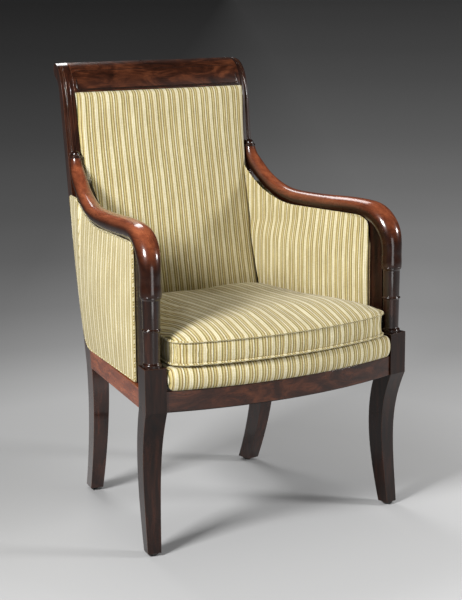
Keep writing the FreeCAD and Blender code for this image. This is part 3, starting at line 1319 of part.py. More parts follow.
def chair():
    """Every piece of the chair by name."""
    right_stile = back_stile()
    right_leg = placed(front_leg())
    right_rail = placed(side_rail())
    front = front_rail()
    rear = rear_rail()
    back = back_pad()
    front_block = front_corner_block([front, right_rail], right_leg)
    rear_block = rear_corner_block([rear, right_rail], right_stile)
    screws = corner_screws()
    bores = corner_screws(JOINT_GAP)
    both_bores = bores + [mirrored(bore) for bore in bores]
    sides = {
        "back_stile": right_stile,
        "front_leg": right_leg,
        "seat_rail": right_rail.cut(bores),
        "arm_post": placed(arm_post()),
        "arm": placed(arm()),
        "arm_terminal": placed(arm_terminal()),
        "panel_upright": placed(panel_upright()),
        "arm_tuck_rail": placed(tuck_rail()),
        "arm_hessian": clear_of_back(placed(arm_hessian()), back, SOFT_GAP),
        "inside_arm_pad": clear_of_back(placed(inside_arm_pad()), back, ARM_PAD_REAR_GAP),
        "outside_arm_cover": placed(outside_arm_cover()),
        "front_corner_block": front_block.cut(bores),
        "rear_corner_block": rear_block.cut(bores),
    }
    pieces = {}
    for name, shape in sides.items():
        pieces["right_" + name] = shape
        pieces["left_" + name] = mirrored(shape)
    right_arm_screw = placed(arm_screw())
    pieces.update({
        "front_seat_rail": front.cut(both_bores),
        "rear_seat_rail": rear.cut(both_bores),
        "back_tuck_rail": back_tuck_rail(),
        "crest_rail": crest_rail(),
        "foot_glides": foot_glides(),
        "corner_block_screws": Part.makeCompound(screws + [mirrored(screw) for screw in screws]),
        "arm_screws": Part.makeCompound([right_arm_screw, mirrored(right_arm_screw)]),
        "seat_webbing_lengthwise": webbing(True),
        "seat_webbing_crosswise": webbing(False),
        "dust_cover": dust_cover(),
        "seat_springs": seat_springs(),
        "spring_hessian": spring_hessian(),
        "seat_deck": seat_deck(),
        "seat_cushion": seat_cushion(),
        "back_pad": back,
        "back_hessian": back_hessian(),
        "back_webbing_uprights": back_webbing(True),
        "back_webbing_rows": back_webbing(False),
        "outside_back_cover": outside_back_cover(),
    })
    return pieces


def main():
    """Builds the pieces, centres the chair over the origin and writes each piece."""
    os.makedirs("parts", exist_ok=True)
    pieces = chair()
    whole = Part.makeCompound(list(pieces.values())).optimalBoundingBox(False, False)
    to_centre = Vector(0, -(whole.YMin + whole.YMax) / 2, 0)
    print("chair is %.1f wide, %.1f deep, %.1f high" % (whole.XLength, whole.YLength, whole.ZMax))
    print("origin lies %.2f behind the front posts' axes" % -to_centre.y)
    print("least gap between turns of a spring %.2f" % spring_gap())
    for name, shape in pieces.items():
        shape.translate(to_centre)
        shape.exportStep("parts/%s.step" % name)


main()
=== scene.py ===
"""Looks of an upholstered armchair with a polished mahogany frame and a striped cover.

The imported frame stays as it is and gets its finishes. The soft pieces are built here as surfaces over
two parameters and stand for the plain solids of the frame. Lengths are in metres, the chair faces -Y.
"""

import math

import bmesh
import bpy
import numpy as np
from mathutils import Matrix


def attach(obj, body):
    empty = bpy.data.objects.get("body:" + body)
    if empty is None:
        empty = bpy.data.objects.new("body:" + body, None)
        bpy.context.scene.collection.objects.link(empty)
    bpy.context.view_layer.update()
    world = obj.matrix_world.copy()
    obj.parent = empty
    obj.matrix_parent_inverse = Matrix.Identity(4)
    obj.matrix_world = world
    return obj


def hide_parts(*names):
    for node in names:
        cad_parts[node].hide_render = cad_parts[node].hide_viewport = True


bl_info = {
    "name": "Bergere chair",
    "version": (1, 0, 0),
    "blender": (4, 5, 0),
    "location": "View3D > Sidebar > Chair",
    "description": "Builds the covers, cushion, finishes and stage of a bergere chair",
    "category": "Object",
}

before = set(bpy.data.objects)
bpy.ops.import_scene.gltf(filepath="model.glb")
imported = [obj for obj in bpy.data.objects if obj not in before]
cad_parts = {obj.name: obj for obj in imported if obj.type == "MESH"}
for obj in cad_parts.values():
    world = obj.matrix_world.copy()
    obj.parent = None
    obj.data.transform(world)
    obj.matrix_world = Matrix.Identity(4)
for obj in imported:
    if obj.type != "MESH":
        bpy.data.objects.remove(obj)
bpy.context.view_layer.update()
CLOTH_UV = "cloth"
SIDES = {"left": -1.0, "right": 1.0}
MIRROR = np.array([-1.0, 1.0])
UP = (0.0, 0.0, 1.0)
WHITE = (1.0, 1.0, 1.0)

# Side frames: s runs back from the front post, t outward from it
POST_HALF_SPACING = 0.293
SPLAY = math.radians(10.4)
POSTS_AHEAD = 0.24243
STILE_FRONT_EDGE = [(0.125, 0.402), (0.260, 0.384), (0.385, 0.402), (0.540, 0.440), (0.700, 0.471),
                    (0.840, 0.491), (0.918, 0.503), (0.955, 0.523)]
STILE_BACK_EDGE = [(0.125, 0.442), (0.260, 0.427), (0.385, 0.444), (0.550, 0.480), (0.720, 0.505),
                   (0.890, 0.524), (0.926, 0.536)]
STILE_CANT = math.tan(math.radians(2.4))
STILE_HALF = 0.019
STILE_TAPER = 0.0065
STILE_TOP = 0.966
RAIL_TOP = 0.345
CREST_BOTTOM = 0.904
ARM_LEVEL = 0.652
ARM_UNDERSIDE = 0.6296
ARM_RISE_START = 0.285
ARM_RISE_RADIUS = 0.230
ARM_STEEPEST = 0.78
UNDERSIDE_STEEPEST = 0.99
ARM_RADII = [(0.05, 0.0240), (0.10, 0.0226), (0.285, 0.0224), (0.40, 0.0204), (0.456, 0.0165)]
ARM_RUN = 0.4708
ARM_END_OUTWARD = 0.018

# Seat and pads
BOW_RADIUS = 0.9095
BOW_CENTRE_Y = 0.6016
PAD_BOTTOM = 0.3963

# Camera, fitted to the photograph
CAMERA_PLACE = (-1.6646, -2.8264, 1.1228)
CAMERA_YAW = -0.5416
CAMERA_PITCH = -0.2011
CAMERA_ROLL = -0.0087
CAMERA_LENS = 91.446
CAMERA_SENSOR = 36.0


# Curves and surfaces

# How finely outlines are sampled
SIDE_STEPS = 160
CORNER_STEPS = 24
OUTLINE_STEPS = 800
BATCHES = 40


def spline(points):
    """A natural cubic spline through (x, y) points, as a function on arrays."""
    x, y = np.array(points).T
    step = np.diff(x)
    count = len(x)
    system = np.eye(count)
    slopes = np.zeros(count)
    inner = np.arange(1, count - 1)
    system[inner, inner - 1] = step[:-1]
    system[inner, inner] = 2 * (step[:-1] + step[1:])
    system[inner, inner + 1] = step[1:]
    slopes[1:-1] = 6 * np.diff(np.diff(y) / step)
    bend = np.linalg.solve(system, slopes)

    def at(value):
        value = np.asarray(value, float)
        part = np.clip(np.searchsorted(x, value) - 1, 0, count - 2)
        low = value - x[part]
        high = x[part + 1] - value
        width = step[part]
        curve = (bend[part] * high**3 + bend[part + 1] * low**3) / (6 * width)
        return (curve + (y[part] / width - bend[part] * width / 6) * high
                + (y[part + 1] / width - bend[part + 1] * width / 6) * low)

    return at


stile_front = spline(STILE_FRONT_EDGE)
stile_back = spline(STILE_BACK_EDGE)


def smooth_step(value):
    """A step from 0 to 1, level at both ends: three times the square less twice the cube."""
    value = np.clip(value, 0.0, 1.0)
    return value * value * (3 - 2 * value)


def on_side(t, s, z, side):
    """Points of a side frame, given outward, backward and upward, as places in the chair."""
    x = side * (POST_HALF_SPACING - s * math.sin(SPLAY) + t * math.cos(SPLAY))
    y = s * math.cos(SPLAY) + t * math.sin(SPLAY) - POSTS_AHEAD
    return np.stack([x, y, z], -1)


def across_y(s):
    """Y at which the stiles' inner line, at s in a side frame, crosses the chair."""
    return s * math.cos(SPLAY) - STILE_HALF * math.sin(SPLAY) - POSTS_AHEAD


def stile_half(z):
    """Half the stile's thickness, which falls evenly from the rail to the top."""
    return STILE_HALF - STILE_TAPER * (z - RAIL_TOP) / (STILE_TOP - RAIL_TOP)


def stile_lean(z):
    """How far the stile leans outward: its height above the rail times its cant."""
    return (z - RAIL_TOP) * STILE_CANT


def arm_drift(s):
    """How far the arm's axis lies outward of its post: a smooth step along its run."""
    return ARM_END_OUTWARD * smooth_step(s / ARM_RUN)


def arm_underside(s):
    """Height of the arm's underside: level, then up along a circle."""
    beyond = np.clip(s - ARM_RISE_START, 0.0, UNDERSIDE_STEEPEST * ARM_RISE_RADIUS)
    return ARM_UNDERSIDE + ARM_RISE_RADIUS - np.sqrt(ARM_RISE_RADIUS**2 - beyond**2)


def arm_axis(s):
    """Height of the arm's axis, its radius and the cosine of its slope, at s."""
    beyond = np.clip(s - ARM_RISE_START, 0.0, ARM_STEEPEST * ARM_RISE_RADIUS)
    slope = np.sqrt(1 - (beyond / ARM_RISE_RADIUS)**2)
    radius = np.interp(s, *np.array(ARM_RADII).T)
    return ARM_LEVEL + ARM_RISE_RADIUS * (1 - slope), radius, slope


def arm_reach(s, z):
    """How far the arm reaches to either side of its axis at a height below it."""
    axis, radius, slope = arm_axis(s)
    return np.sqrt(np.maximum(radius**2 - ((axis - z) * slope)**2, 0.0))


def segment(start, end, count=120):
    """Even points on a straight line."""
    return np.linspace(start, end, count)


def bow_y(x, radius):
    """Y of a circle round the seat's bow centre, on its front side."""
    return BOW_CENTRE_Y - np.sqrt(radius**2 - x**2)


def step_lengths(path):
    """Length of each step of a polyline."""
    return np.linalg.norm(np.diff(path, axis=0), axis=1)


def length_of(path):
    """Length of a polyline: the sum of its steps."""
    return step_lengths(path).sum()


def run_of(path):
    """Length along a polyline up to each of its points."""
    return np.concatenate([[0.0], np.cumsum(step_lengths(path))])


def along(path, lengths):
    """Points of a polyline at lengths along it."""
    run = run_of(path)
    return np.stack([np.interp(lengths, run, column) for column in path.T], -1)


def unit(vectors):
    """Vectors divided by their lengths."""
    return vectors / np.linalg.norm(vectors, axis=1)[:, None]


def headings(path):
    """Unit steps along a closed path."""
    return unit(np.roll(path, -1, axis=0) - np.roll(path, 1, axis=0))


def inward(path):
    """Unit steps into a closed plan path that runs anticlockwise."""
    ahead = headings(path)
    return np.stack([-ahead[:, 1], ahead[:, 0]], -1)


def nearest(points, outline):
    """Number of the outline's point that is nearest to each point, found in batches to save memory."""
    return np.concatenate([((part[:, None] - outline[None])**2).sum(-1).argmin(1)
                           for part in np.array_split(points, BATCHES)])


def distance_to(points, outline):
    """Distance of each point to the outline's nearest point."""
    return np.linalg.norm(points - outline[nearest(points, outline)], axis=1)


def edge_spacing(count):
    """Shares from 0 to 1 that lie closer together towards both ends."""
    return (1 - np.cos(np.linspace(0, math.pi, count))) / 2


def parabola(start, corner, end, share):
    """Points at shares of a parabola from start to end, drawn towards a corner."""
    return (1 - share)**2 * start + 2 * share * (1 - share) * corner + share**2 * end


def round_corners(sides, cuts):
    """Four sides that follow one another, with each corner between them rounded.

    The cut is the length taken off both sides at the corner where a side starts. A corner is a parabola
    between the two cuts, and is shared by both sides, half each.
    """
    second_half = np.linspace(0.5, 1.0, CORNER_STEPS)[:, None]
    first_half = np.linspace(0.0, 0.5, CORNER_STEPS)[:, None]
    rounded = []
    for number, side in enumerate(sides):
        first = cuts[number]
        last = cuts[(number + 1) % 4]
        before = sides[number - 1]
        after = sides[(number + 1) % 4]
        straight = along(side, np.linspace(first, length_of(side) - last, SIDE_STEPS))
        start_leg = along(before, np.array([length_of(before) - first]))
        end_leg = along(after, np.array([last]))
        lead_in = parabola(start_leg, side[:1], straight[:1], second_half)
        lead_out = parabola(straight[-1:], side[-1:], end_leg, first_half)
        rounded.append(np.concatenate([lead_in[:-1], straight, lead_out[1:]]))
    return rounded


def closed_loop(sides, count):
    """One closed path of evenly spaced points round four sides."""
    path = np.concatenate(sides + [sides[0][:1]])
    return along(path, np.linspace(0, length_of(path), count, endpoint=False))


def rim_of(shape):
    """Marks the outer rows and columns of a grid."""
    rim = np.ones(shape, bool)
    rim[1:-1, 1:-1] = False
    return rim


def patch(sides, counts):
    """A grid over the area inside four sides (bottom, right, top, left, in turn), and each point's distance
    to the edge. The grid blends opposite sides and takes off what the corners count twice."""
    a = edge_spacing(counts[0])
    b = edge_spacing(counts[1])
    low = along(sides[0], a * length_of(sides[0]))
    right = along(sides[1], b * length_of(sides[1]))
    high = along(sides[2][::-1], a * length_of(sides[2]))
    left = along(sides[3][::-1], b * length_of(sides[3]))
    a = a[:, None, None]
    b = b[None, :, None]
    grid = ((1 - b) * low[:, None] + b * high[:, None] + (1 - a) * left[None] + a * right[None]
            - (1 - a) * (1 - b) * low[0] - a * (1 - b) * low[-1] - (1 - a) * b * high[0] - a * b * high[-1])
    outline = np.concatenate([along(side, np.linspace(0, length_of(side), OUTLINE_STEPS)) for side in sides])
    reach = distance_to(grid.reshape(-1, 2), outline).reshape(grid.shape[:2])
    reach[rim_of(reach.shape)] = 0.0
    return grid, reach


def grid_faces(index):
    """Quads over a grid of vertex numbers."""
    return np.stack([index[:-1, :-1], index[1:, :-1], index[1:, 1:], index[:-1, 1:]], -1).reshape(-1, 4)


def pillow(grid, reach, edge, face, back):
    """A closed pad over a grid: its face and its back draw together round the edge as a quarter ellipse.

    Returns grid places with depth as a third column, and quads.
    """
    share = 1 - np.clip(reach / edge, 0.0, 1.0)
    full = np.sqrt(1 - share**2)
    middle = (face + back) / 2
    rim = rim_of(reach.shape)
    count = reach.size
    front_index = np.arange(count).reshape(reach.shape)
    back_index = np.where(rim, front_index, 0)
    back_index[~rim] = count + np.arange((~rim).sum())
    fronts = np.concatenate([grid, (middle + (face - middle) * full)[..., None]], -1).reshape(-1, 3)
    backs = np.concatenate([grid, (middle + (back - middle) * full)[..., None]], -1)[~rim]
    faces = np.concatenate([grid_faces(front_index), grid_faces(back_index)[:, ::-1]])
    return np.concatenate([fronts, backs]), faces


def swells(first, second, waves):
    """Low swells of a used filling, from -1 to 1: sine waves over two directions, multiplied together."""
    return np.prod([np.sin(a * first + b * second + start) for a, b, start in waves], axis=0)


def tube(path, radius, around=12, up=UP):
    """A closed cord along a closed path: a circle carried along it. Returns vertices, quads and uv."""
    ahead = headings(path)
    out = unit(np.cross(ahead, np.array(up)))
    over = np.cross(out, ahead)
    turn = np.linspace(0, 2 * math.pi, around, endpoint=False)
    ring = radius * (np.cos(turn)[None, :, None] * out[:, None] + np.sin(turn)[None, :, None] * over[:, None])
    places = (path[:, None] + ring).reshape(-1, 3)
    index = np.arange(len(path) * around).reshape(len(path), around)
    index = np.concatenate([index, index[:1]])
    index = np.concatenate([index, index[:, :1]], 1)
    run = run_of(path)[:, None] + 0.5 * radius * turn[None]
    uv = np.stack(np.broadcast_arrays(run, radius * turn[None]), -1)
    return places, grid_faces(index), uv.reshape(-1, 2)


# Meshes

def new_piece(name, places, faces, uv, material):
    """A mesh object with outward faces, smooth shading and the cloth's own coordinates.

    The coordinates, across the stripes and along them in metres, are given for each vertex.
    """
    mesh = bpy.data.meshes.new(name)
    mesh.from_pydata(places.tolist(), [], faces.tolist())
    piece = bpy.data.objects.new(name, mesh)
    bpy.context.scene.collection.objects.link(piece)
    turn_outward(mesh)
    shade_smooth(mesh)
    set_cloth_uv(mesh, uv[corners_of(mesh)])
    mesh.materials.append(material)
    return piece


def turn_outward(mesh):
    """Turns the faces of a closed mesh outward."""
    work = bmesh.new()
    work.from_mesh(mesh)
    bmesh.ops.recalc_face_normals(work, faces=work.faces)
    work.to_mesh(mesh)
    work.free()


def shade_smooth(mesh):
    """Shades all faces of a mesh as one smooth surface."""
    mesh.polygons.foreach_set("use_smooth", np.ones(len(mesh.polygons), bool))


def set_cloth_uv(mesh, uv):
    """Writes cloth coordinates, given for each face corner."""
    layer = mesh.uv_layers.get(CLOTH_UV) or mesh.uv_layers.new(name=CLOTH_UV)
    layer.data.foreach_set("uv", uv.astype(np.float32).ravel())


def counts_of(items, name):
    """A whole number of each of a mesh's items."""
    values = np.empty(len(items), int)
    items.foreach_get(name, values)
    return values


def vectors_of(items, name):
    """A vector of each of a mesh's items."""
    values = np.empty(len(items) * 3)
    items.foreach_get(name, values)
    return values.reshape(-1, 3)


def corners_of(mesh):
    """Vertex number of each face corner."""
    return counts_of(mesh.loops, "vertex_index")


def places_of(mesh):
    """Place of each vertex."""
    return vectors_of(mesh.vertices, "co")


def settle(piece, body, nodes=()):
    """Ties a piece to its body and hides the plain solids it stands for."""
    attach(piece, body)
    if nodes:
        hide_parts(*nodes)


def cover(name, places, faces, uv, nodes=(), fill=None, body="chair_frame"):
    """A piece in the striped cloth."""
    piece = new_piece(name, places, faces, uv, cloth())
    settle(piece, body, nodes)


def moulding(name, path, radius, finish, around=12, up=UP):
    """A fine round moulding of the frame along a closed path."""
    piece = new_piece(name, *tube(path, radius, around, up), bpy.data.materials[finish])
    settle(piece, "chair_frame")


# Finishes

class Finish:
    """A material under construction."""

    def __init__(self, name):
        self.material = bpy.data.materials.new(name)
        self.material.use_nodes = True
        self.tree = self.material.node_tree
        self.tree.nodes.clear()

    def add(self, kind, inputs=None, **settings):
        """A node with its settings, and its inputs set to constants or joined to other nodes' outputs."""
        node = self.tree.nodes.new(kind)
        for name, value in settings.items():
            setattr(node, name, value)
        for name, value in (inputs or {}).items():
            if isinstance(value, bpy.types.NodeSocket):
                self.tree.links.new(value, node.inputs[name])
            else:
                node.inputs[name].default_value = value
        return node

    def place(self):
        """The piece's own coordinates, in metres."""
        return self.add("ShaderNodeTexCoord").outputs["Object"]

    def ramp(self, value, stops):
        """A colour that runs from stop to stop with a value."""
        node = self.add("ShaderNodeValToRGB", {0: value})
        elements = node.color_ramp.elements
        while len(elements) > 1:
            elements.remove(elements[-1])
        elements[0].position = stops[0][0]
        elements[0].color = (*stops[0][1], 1.0)
        for place, colour in stops[1:]:
            elements.new(place).color = (*colour, 1.0)
        return node.outputs[0]

    def math(self, kind, *values):
        """A number worked out from numbers."""
        return self.add("ShaderNodeMath", dict(enumerate(values)), operation=kind).outputs[0]

    def vectors(self, kind, *values):
        """A number worked out from vectors."""
        return self.add("ShaderNodeVectorMath", dict(enumerate(values)), operation=kind).outputs["Value"]

    def mapped(self, source, scale, turn=(0.0, 0.0, 0.0)):
        """Coordinates that are scaled and turned."""
        return self.add("ShaderNodeMapping", {"Vector": source, "Scale": scale, "Rotation": turn}).outputs[0]

    def noise(self, vector, scale, detail=3.0, roughness=0.5, distortion=0.0):
        """Smooth noise from 0 to 1."""
        return self.add("ShaderNodeTexNoise", {"Vector": vector, "Scale": scale, "Detail": detail,
                                               "Roughness": roughness, "Distortion": distortion}).outputs[0]

    def blend(self, kind, share, first, second):
        """Two colours mixed or multiplied by a share."""
        node = self.add("ShaderNodeMix", {0: share, 6: first, 7: second}, data_type="RGBA", blend_type=kind)
        return node.outputs[2]

    def shaded(self, colour, value, dark_at, dark, white_at, share=1.0):
        """A colour multiplied by a tone that runs from dark to white with a value."""
        return self.blend("MULTIPLY", share, colour, self.ramp(value, [(dark_at, dark), (white_at, WHITE)]))

    def spread(self, value, low, high, start=0.0, end=1.0):
        """A value from start to end, as one from low to high."""
        return self.add("ShaderNodeMapRange", {0: value, 1: start, 2: end, 3: low, 4: high}).outputs[0]

    def bump(self, strength, distance, height, **more):
        """The surface's direction, roughened by a height."""
        inputs = {"Strength": strength, "Distance": distance, "Height": height, **more}
        return self.add("ShaderNodeBump", inputs).outputs[0]

    def done(self, inputs):
        """The finished material, with its shader's inputs."""
        shader = self.add("ShaderNodeBsdfPrincipled", inputs)
        self.add("ShaderNodeOutputMaterial", {"Surface": shader.outputs[0]})
        return self.material


# One repeat of the stripes: the share of each line's width, and its colour
STRIPE_LINES = [(2.7, "ivory"), (1.3, "pale_gold"), (2.8, "ivory"), (1.3, "gold"), (1.5, "olive"),
                (1.2, "gold"), (2.7, "pale_gold"), (1.4, "rust"), (1.5, "gold"), (2.8, "ivory"),
                (1.4, "olive"), (1.8, "gold"), (2.2, "pale_gold"), (1.3, "rust"), (1.4, "gold"),
                (1.5, "pale_gold")]
STRIPE_SOFTNESS = 0.004
WAVER_SCALE = (18.0, 18.0, 1.0)
WAVER_WIDTH = 0.0016

# Unevenness of the cloth: the noise's scale across and along the stripes and its detail, where it is
# darkest, that tone, where it is white, and how strongly it shades the stripes
CLOTH_SHADES = {
    "slub": ((420.0, 22.0, 1.0), 3.0, 0.30, (0.70, 0.69, 0.64), 0.64, 0.8),
    "fading": ((16.0, 10.0, 1.0), 3.0, 0.34, (0.91, 0.895, 0.86), 0.62, 1.0),
    "yarn": ((1900.0, 260.0, 1.0), 2.0, 0.25, (0.76, 0.75, 0.72), 0.75, 1.0),
    "weft": ((60.0, 900.0, 1.0), 2.0, 0.30, (0.86, 0.85, 0.82), 0.70, 1.0),
}
RIB_HEIGHT = 0.5
YARN_HEIGHT = 1.2


def stripe_stops(settings):
    """Ramp stops of one repeat: each line keeps its colour and runs into the next over a short step."""
    widths, colours = zip(*STRIPE_LINES)
    ends = np.cumsum(widths) / np.sum(widths)
    starts = np.concatenate([[0.0], ends[:-1]])
    stops = []
    for start, end, colour in zip(starts, ends, colours):
        stops.append((start + STRIPE_SOFTNESS, getattr(settings, colour)))
        stops.append((end - STRIPE_SOFTNESS, getattr(settings, colour)))
    return stops


def striped_cloth(settings):
    """Ribbed striped cloth: groups of fine lines between ivory bands, a fine cross rib and uneven yarns."""
    make = Finish("striped_cloth")
    place = make.add("ShaderNodeUVMap", uv_map=CLOTH_UV).outputs[0]
    split = make.add("ShaderNodeSeparateXYZ", {0: place})
    waver = make.math("MULTIPLY", make.noise(make.mapped(place, WAVER_SCALE), 1.0), WAVER_WIDTH)
    across = make.math("ADD", split.outputs[0], waver)
    share = make.math("FRACT", make.math("DIVIDE", across, settings.repeat))
    colour = make.ramp(share, stripe_stops(settings))
    noises = {}
    for name, (scale, detail, *shading) in CLOTH_SHADES.items():
        noises[name] = make.noise(make.mapped(place, scale), 1.0, detail)
        colour = make.shaded(colour, noises[name], *shading)
    rib = make.math("SINE", make.math("MULTIPLY", split.outputs[1], 2 * math.pi / settings.rib))
    yarn = make.math("MULTIPLY", noises["yarn"], YARN_HEIGHT)
    height = make.math("ADD", make.math("MULTIPLY", rib, RIB_HEIGHT), yarn)
    return make.done({"Base Color": colour, "Roughness": 0.82, "Specular IOR Level": 0.25,
                      "Sheen Weight": 0.12, "Sheen Roughness": 0.5,
                      "Normal": make.bump(0.35, 0.0006, height)})


def cloth():
    """The striped cloth, made at its first use."""
    return bpy.data.materials.get("striped_cloth") or striped_cloth(bpy.context.scene.chair_cloth)


# Tones of the wood, from its dark streaks to its pale ones
MAHOGANY_LEG = [(0.30, (0.0040, 0.0016, 0.0010)), (0.50, (0.0115, 0.0040, 0.0023)),
                (0.72, (0.030, 0.0092, 0.0046))]
# The legs' tones a little darker: painted shade for the panel uprights, which sit in shadow between the post
# and the pad
MAHOGANY_PAINTED_SHADE = [(at, tuple(0.9 * np.array(tone))) for at, tone in MAHOGANY_LEG]
MAHOGANY_DARK = [(0.30, (0.0085, 0.0028, 0.0016)), (0.50, (0.026, 0.0076, 0.0038)),
                 (0.72, (0.060, 0.0170, 0.0076))]
# The arms' pale tones stand for their lit top, painted light that painted shade darkens on their sides and
# underside
MAHOGANY_ARM = [(0.26, (0.105, 0.0255, 0.0108)), (0.50, (0.205, 0.0530, 0.0215)),
                (0.76, (0.320, 0.0920, 0.0370))]
MAHOGANY_RED = [(0.28, (0.075, 0.0160, 0.0066)), (0.50, (0.180, 0.0440, 0.0170)),
                (0.74, (0.310, 0.0880, 0.0340))]
MAHOGANY_FIGURED = [(0.30, (0.009, 0.0027, 0.0012)), (0.50, (0.036, 0.0100, 0.0042)),
                    (0.72, (0.110, 0.0330, 0.0130))]
BEECH = [(0.30, (0.30, 0.17, 0.08)), (0.50, (0.44, 0.27, 0.14)), (0.70, (0.52, 0.34, 0.19))]
GRAIN_TURNS = {"x": (0.0, math.pi / 2, 0.0), "y": (math.pi / 2, 0.0, 0.0), "z": (0.0, 0.0, 0.0)}

# Streaks: their scale along the grain, then the noise's own scale, detail, roughness and distortion
PLAIN_STREAKS = (0.10, 90.0, 5.0, 0.62, 0.4)
FIGURED_STREAKS = (0.45, 26.0, 5.0, 0.62, 1.6)
PORE_STREAKS = (0.035, 900.0, 2.0)
PORE_TONE = (0.45, 0.42, 0.40)
# Tone of the painted shade on the arms' sides and underside
PAINTED_SHADE_TONE = (0.08, 0.08, 0.08)
WORN_TONE = (0.20, 0.085, 0.045, 1.0)
EDGE_RADIUS = 0.0016


def mahogany(name, grain, tones, figured=False, gloss=0.55, painted_top_light=False):
    """Polished mahogany: streaks and pores drawn out along the grain, or a mottled figure, under a coat.

    A piece with painted top light gets painted shade on its sides and underside, as if lit from above. All
    pieces are a little paler along their edges.
    """
    make = Finish(name)
    place = make.place()
    turned = make.mapped(place, (1.0, 1.0, 1.0), GRAIN_TURNS[grain])
    drawn, *streaks = FIGURED_STREAKS if figured else PLAIN_STREAKS
    colour = make.ramp(make.noise(make.mapped(turned, (1.0, 1.0, drawn)), *streaks), tones)
    drawn, *pores = PORE_STREAKS
    pore = make.noise(make.mapped(turned, (1.0, 1.0, drawn)), *pores)
    colour = make.shaded(colour, pore, 0.34, PORE_TONE, 0.50, 0.7)
    # Painted shade: the colour is darkened where the surface faces sideways or down, so it looks lit from
    # above
    if painted_top_light:
        normal = make.add("ShaderNodeNewGeometry").outputs["Normal"]
        facing = make.add("ShaderNodeSeparateXYZ", {0: normal}).outputs[2]
        upward = make.math("MULTIPLY_ADD", facing, 0.5, 0.5)
        colour = make.shaded(colour, upward, 0.52, PAINTED_SHADE_TONE, 0.88)
    soft = make.add("ShaderNodeBevel", {"Radius": EDGE_RADIUS}, samples=4).outputs[0]
    straight = make.add("ShaderNodeNewGeometry").outputs["True Normal"]
    level = make.vectors("DOT_PRODUCT", soft, straight)
    worn = make.ramp(level, [(0.78, (0.5, 0.5, 0.5)), (0.96, (0.0, 0.0, 0.0))])
    colour = make.blend("MIX", worn, colour, WORN_TONE)
    return make.done({"Base Color": colour, "Roughness": make.spread(make.noise(place, 9.0), 0.22, 0.34),
                      "Specular IOR Level": 0.18, "Coat Weight": gloss, "Coat Roughness": 0.05,
                      "Normal": make.bump(0.10, 0.0004, pore, Normal=soft), "Coat Normal": soft})


def beech():
    """Plain beech of the inner frame, with short flecks along the grain."""
    make = Finish("inner_beech")
    fleck = make.noise(make.mapped(make.place(), (0.2, 1.0, 1.0)), 160.0, 4.0, 0.6)
    return make.done({"Base Color": make.ramp(fleck, BEECH), "Roughness": make.spread(fleck, 0.5, 0.7),
                      "Normal": make.bump(0.15, 0.0004, fleck)})


def woven(name, dark, light, pitch):
    """A plain weave: two crossed sine waves in the threads' directions, with uneven threads."""
    make = Finish(name)
    place = make.place()
    split = make.add("ShaderNodeSeparateXYZ", {0: place})
    deep = make.math("ADD", split.outputs[1], split.outputs[2])
    waves = [make.math("SINE", make.math("MULTIPLY", axis, 2 * math.pi / pitch))
             for axis in (split.outputs[0], deep)]
    weave = make.math("MULTIPLY", *waves)
    uneven = make.noise(place, 500.0)
    tone = make.math("ADD", make.math("MULTIPLY", weave, 0.25), uneven)
    return make.done({"Base Color": make.ramp(tone, [(0.3, dark), (0.7, light)]),
                      "Roughness": make.spread(uneven, 0.8, 0.95),
                      "Normal": make.bump(0.5, pitch / 4, weave)})


def metal(name, dark, light, roughness):
    """Worn metal: clouded colour and roughness."""
    make = Finish(name)
    cloud = make.noise(make.place(), 220.0, 4.0, 0.6)
    return make.done({"Base Color": make.ramp(cloud, [(0.35, dark), (0.65, light)]), "Metallic": 1.0,
                      "Roughness": make.spread(cloud, roughness - 0.1, roughness + 0.1)})


WEBBING = ["seat_webbing_lengthwise", "seat_webbing_crosswise", "back_webbing_uprights", "back_webbing_rows"]


def pair(*names):
    """The left and the right node of each name."""
    return [f"{side}_{name}" for name in names for side in SIDES]


def finish_frame():
    """Gives each node of the frame its finish."""
    finishes = [
        (mahogany("mahogany_upright", "z", MAHOGANY_DARK, gloss=0.9), pair("back_stile")),
        (mahogany("mahogany_arms", "y", MAHOGANY_ARM, painted_top_light=True), pair("arm")),
        (mahogany("mahogany_side_rails", "y", MAHOGANY_RED, gloss=0.3), pair("seat_rail")),
        (mahogany("mahogany_legs", "z", MAHOGANY_LEG, gloss=0.3), pair("front_leg")),
        (mahogany("mahogany_turned", "z", MAHOGANY_LEG, gloss=0.7), pair("arm_post", "arm_terminal")),
        # The panel uprights get the painted shade copy of the legs' tones
        (mahogany("mahogany_uprights", "z", MAHOGANY_PAINTED_SHADE, gloss=0.1), pair("panel_upright")),
        (mahogany("stained_beech", "x", MAHOGANY_DARK, gloss=0.15), ["rear_seat_rail"]),
        (mahogany("mahogany_figured", "x", MAHOGANY_FIGURED, True), ["front_seat_rail", "crest_rail"]),
        (beech(), ["back_tuck_rail", *pair("front_corner_block", "rear_corner_block", "arm_tuck_rail")]),
        (woven("hessian_cloth", (0.20, 0.13, 0.06), (0.42, 0.31, 0.17), 0.0022),
         ["spring_hessian", "back_hessian", *pair("arm_hessian")]),
        (woven("jute_webbing", (0.24, 0.17, 0.09), (0.50, 0.40, 0.25), 0.0030), WEBBING),
        (metal("glide_metal", (0.02, 0.02, 0.02), (0.10, 0.095, 0.09), 0.5), ["foot_glides"]),
        (metal("screw_steel", (0.20, 0.19, 0.18), (0.42, 0.41, 0.40), 0.4),
         ["corner_block_screws", "arm_screws"]),
        (metal("spring_steel", (0.14, 0.10, 0.07), (0.34, 0.31, 0.28), 0.45), ["seat_springs"]),
    ]
    for material, nodes in finishes:
        for name in nodes:
            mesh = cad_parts[name].data
            mesh.materials.clear()
            mesh.materials.append(material)


# Seat cushion

# Heights and plan
CUSHION_BOTTOM = 0.3925
CUSHION_WELT = 0.4433
CUSHION_FRONT = -0.3180
CUSHION_CORNER_Y = -0.2734
CUSHION_REAR = 0.1345
CUSHION_SIDE = -0.0334
CUSHION_CUTS = [0.042, 0.042, 0.020, 0.020]
CUSHION_GRID = (64, 64)
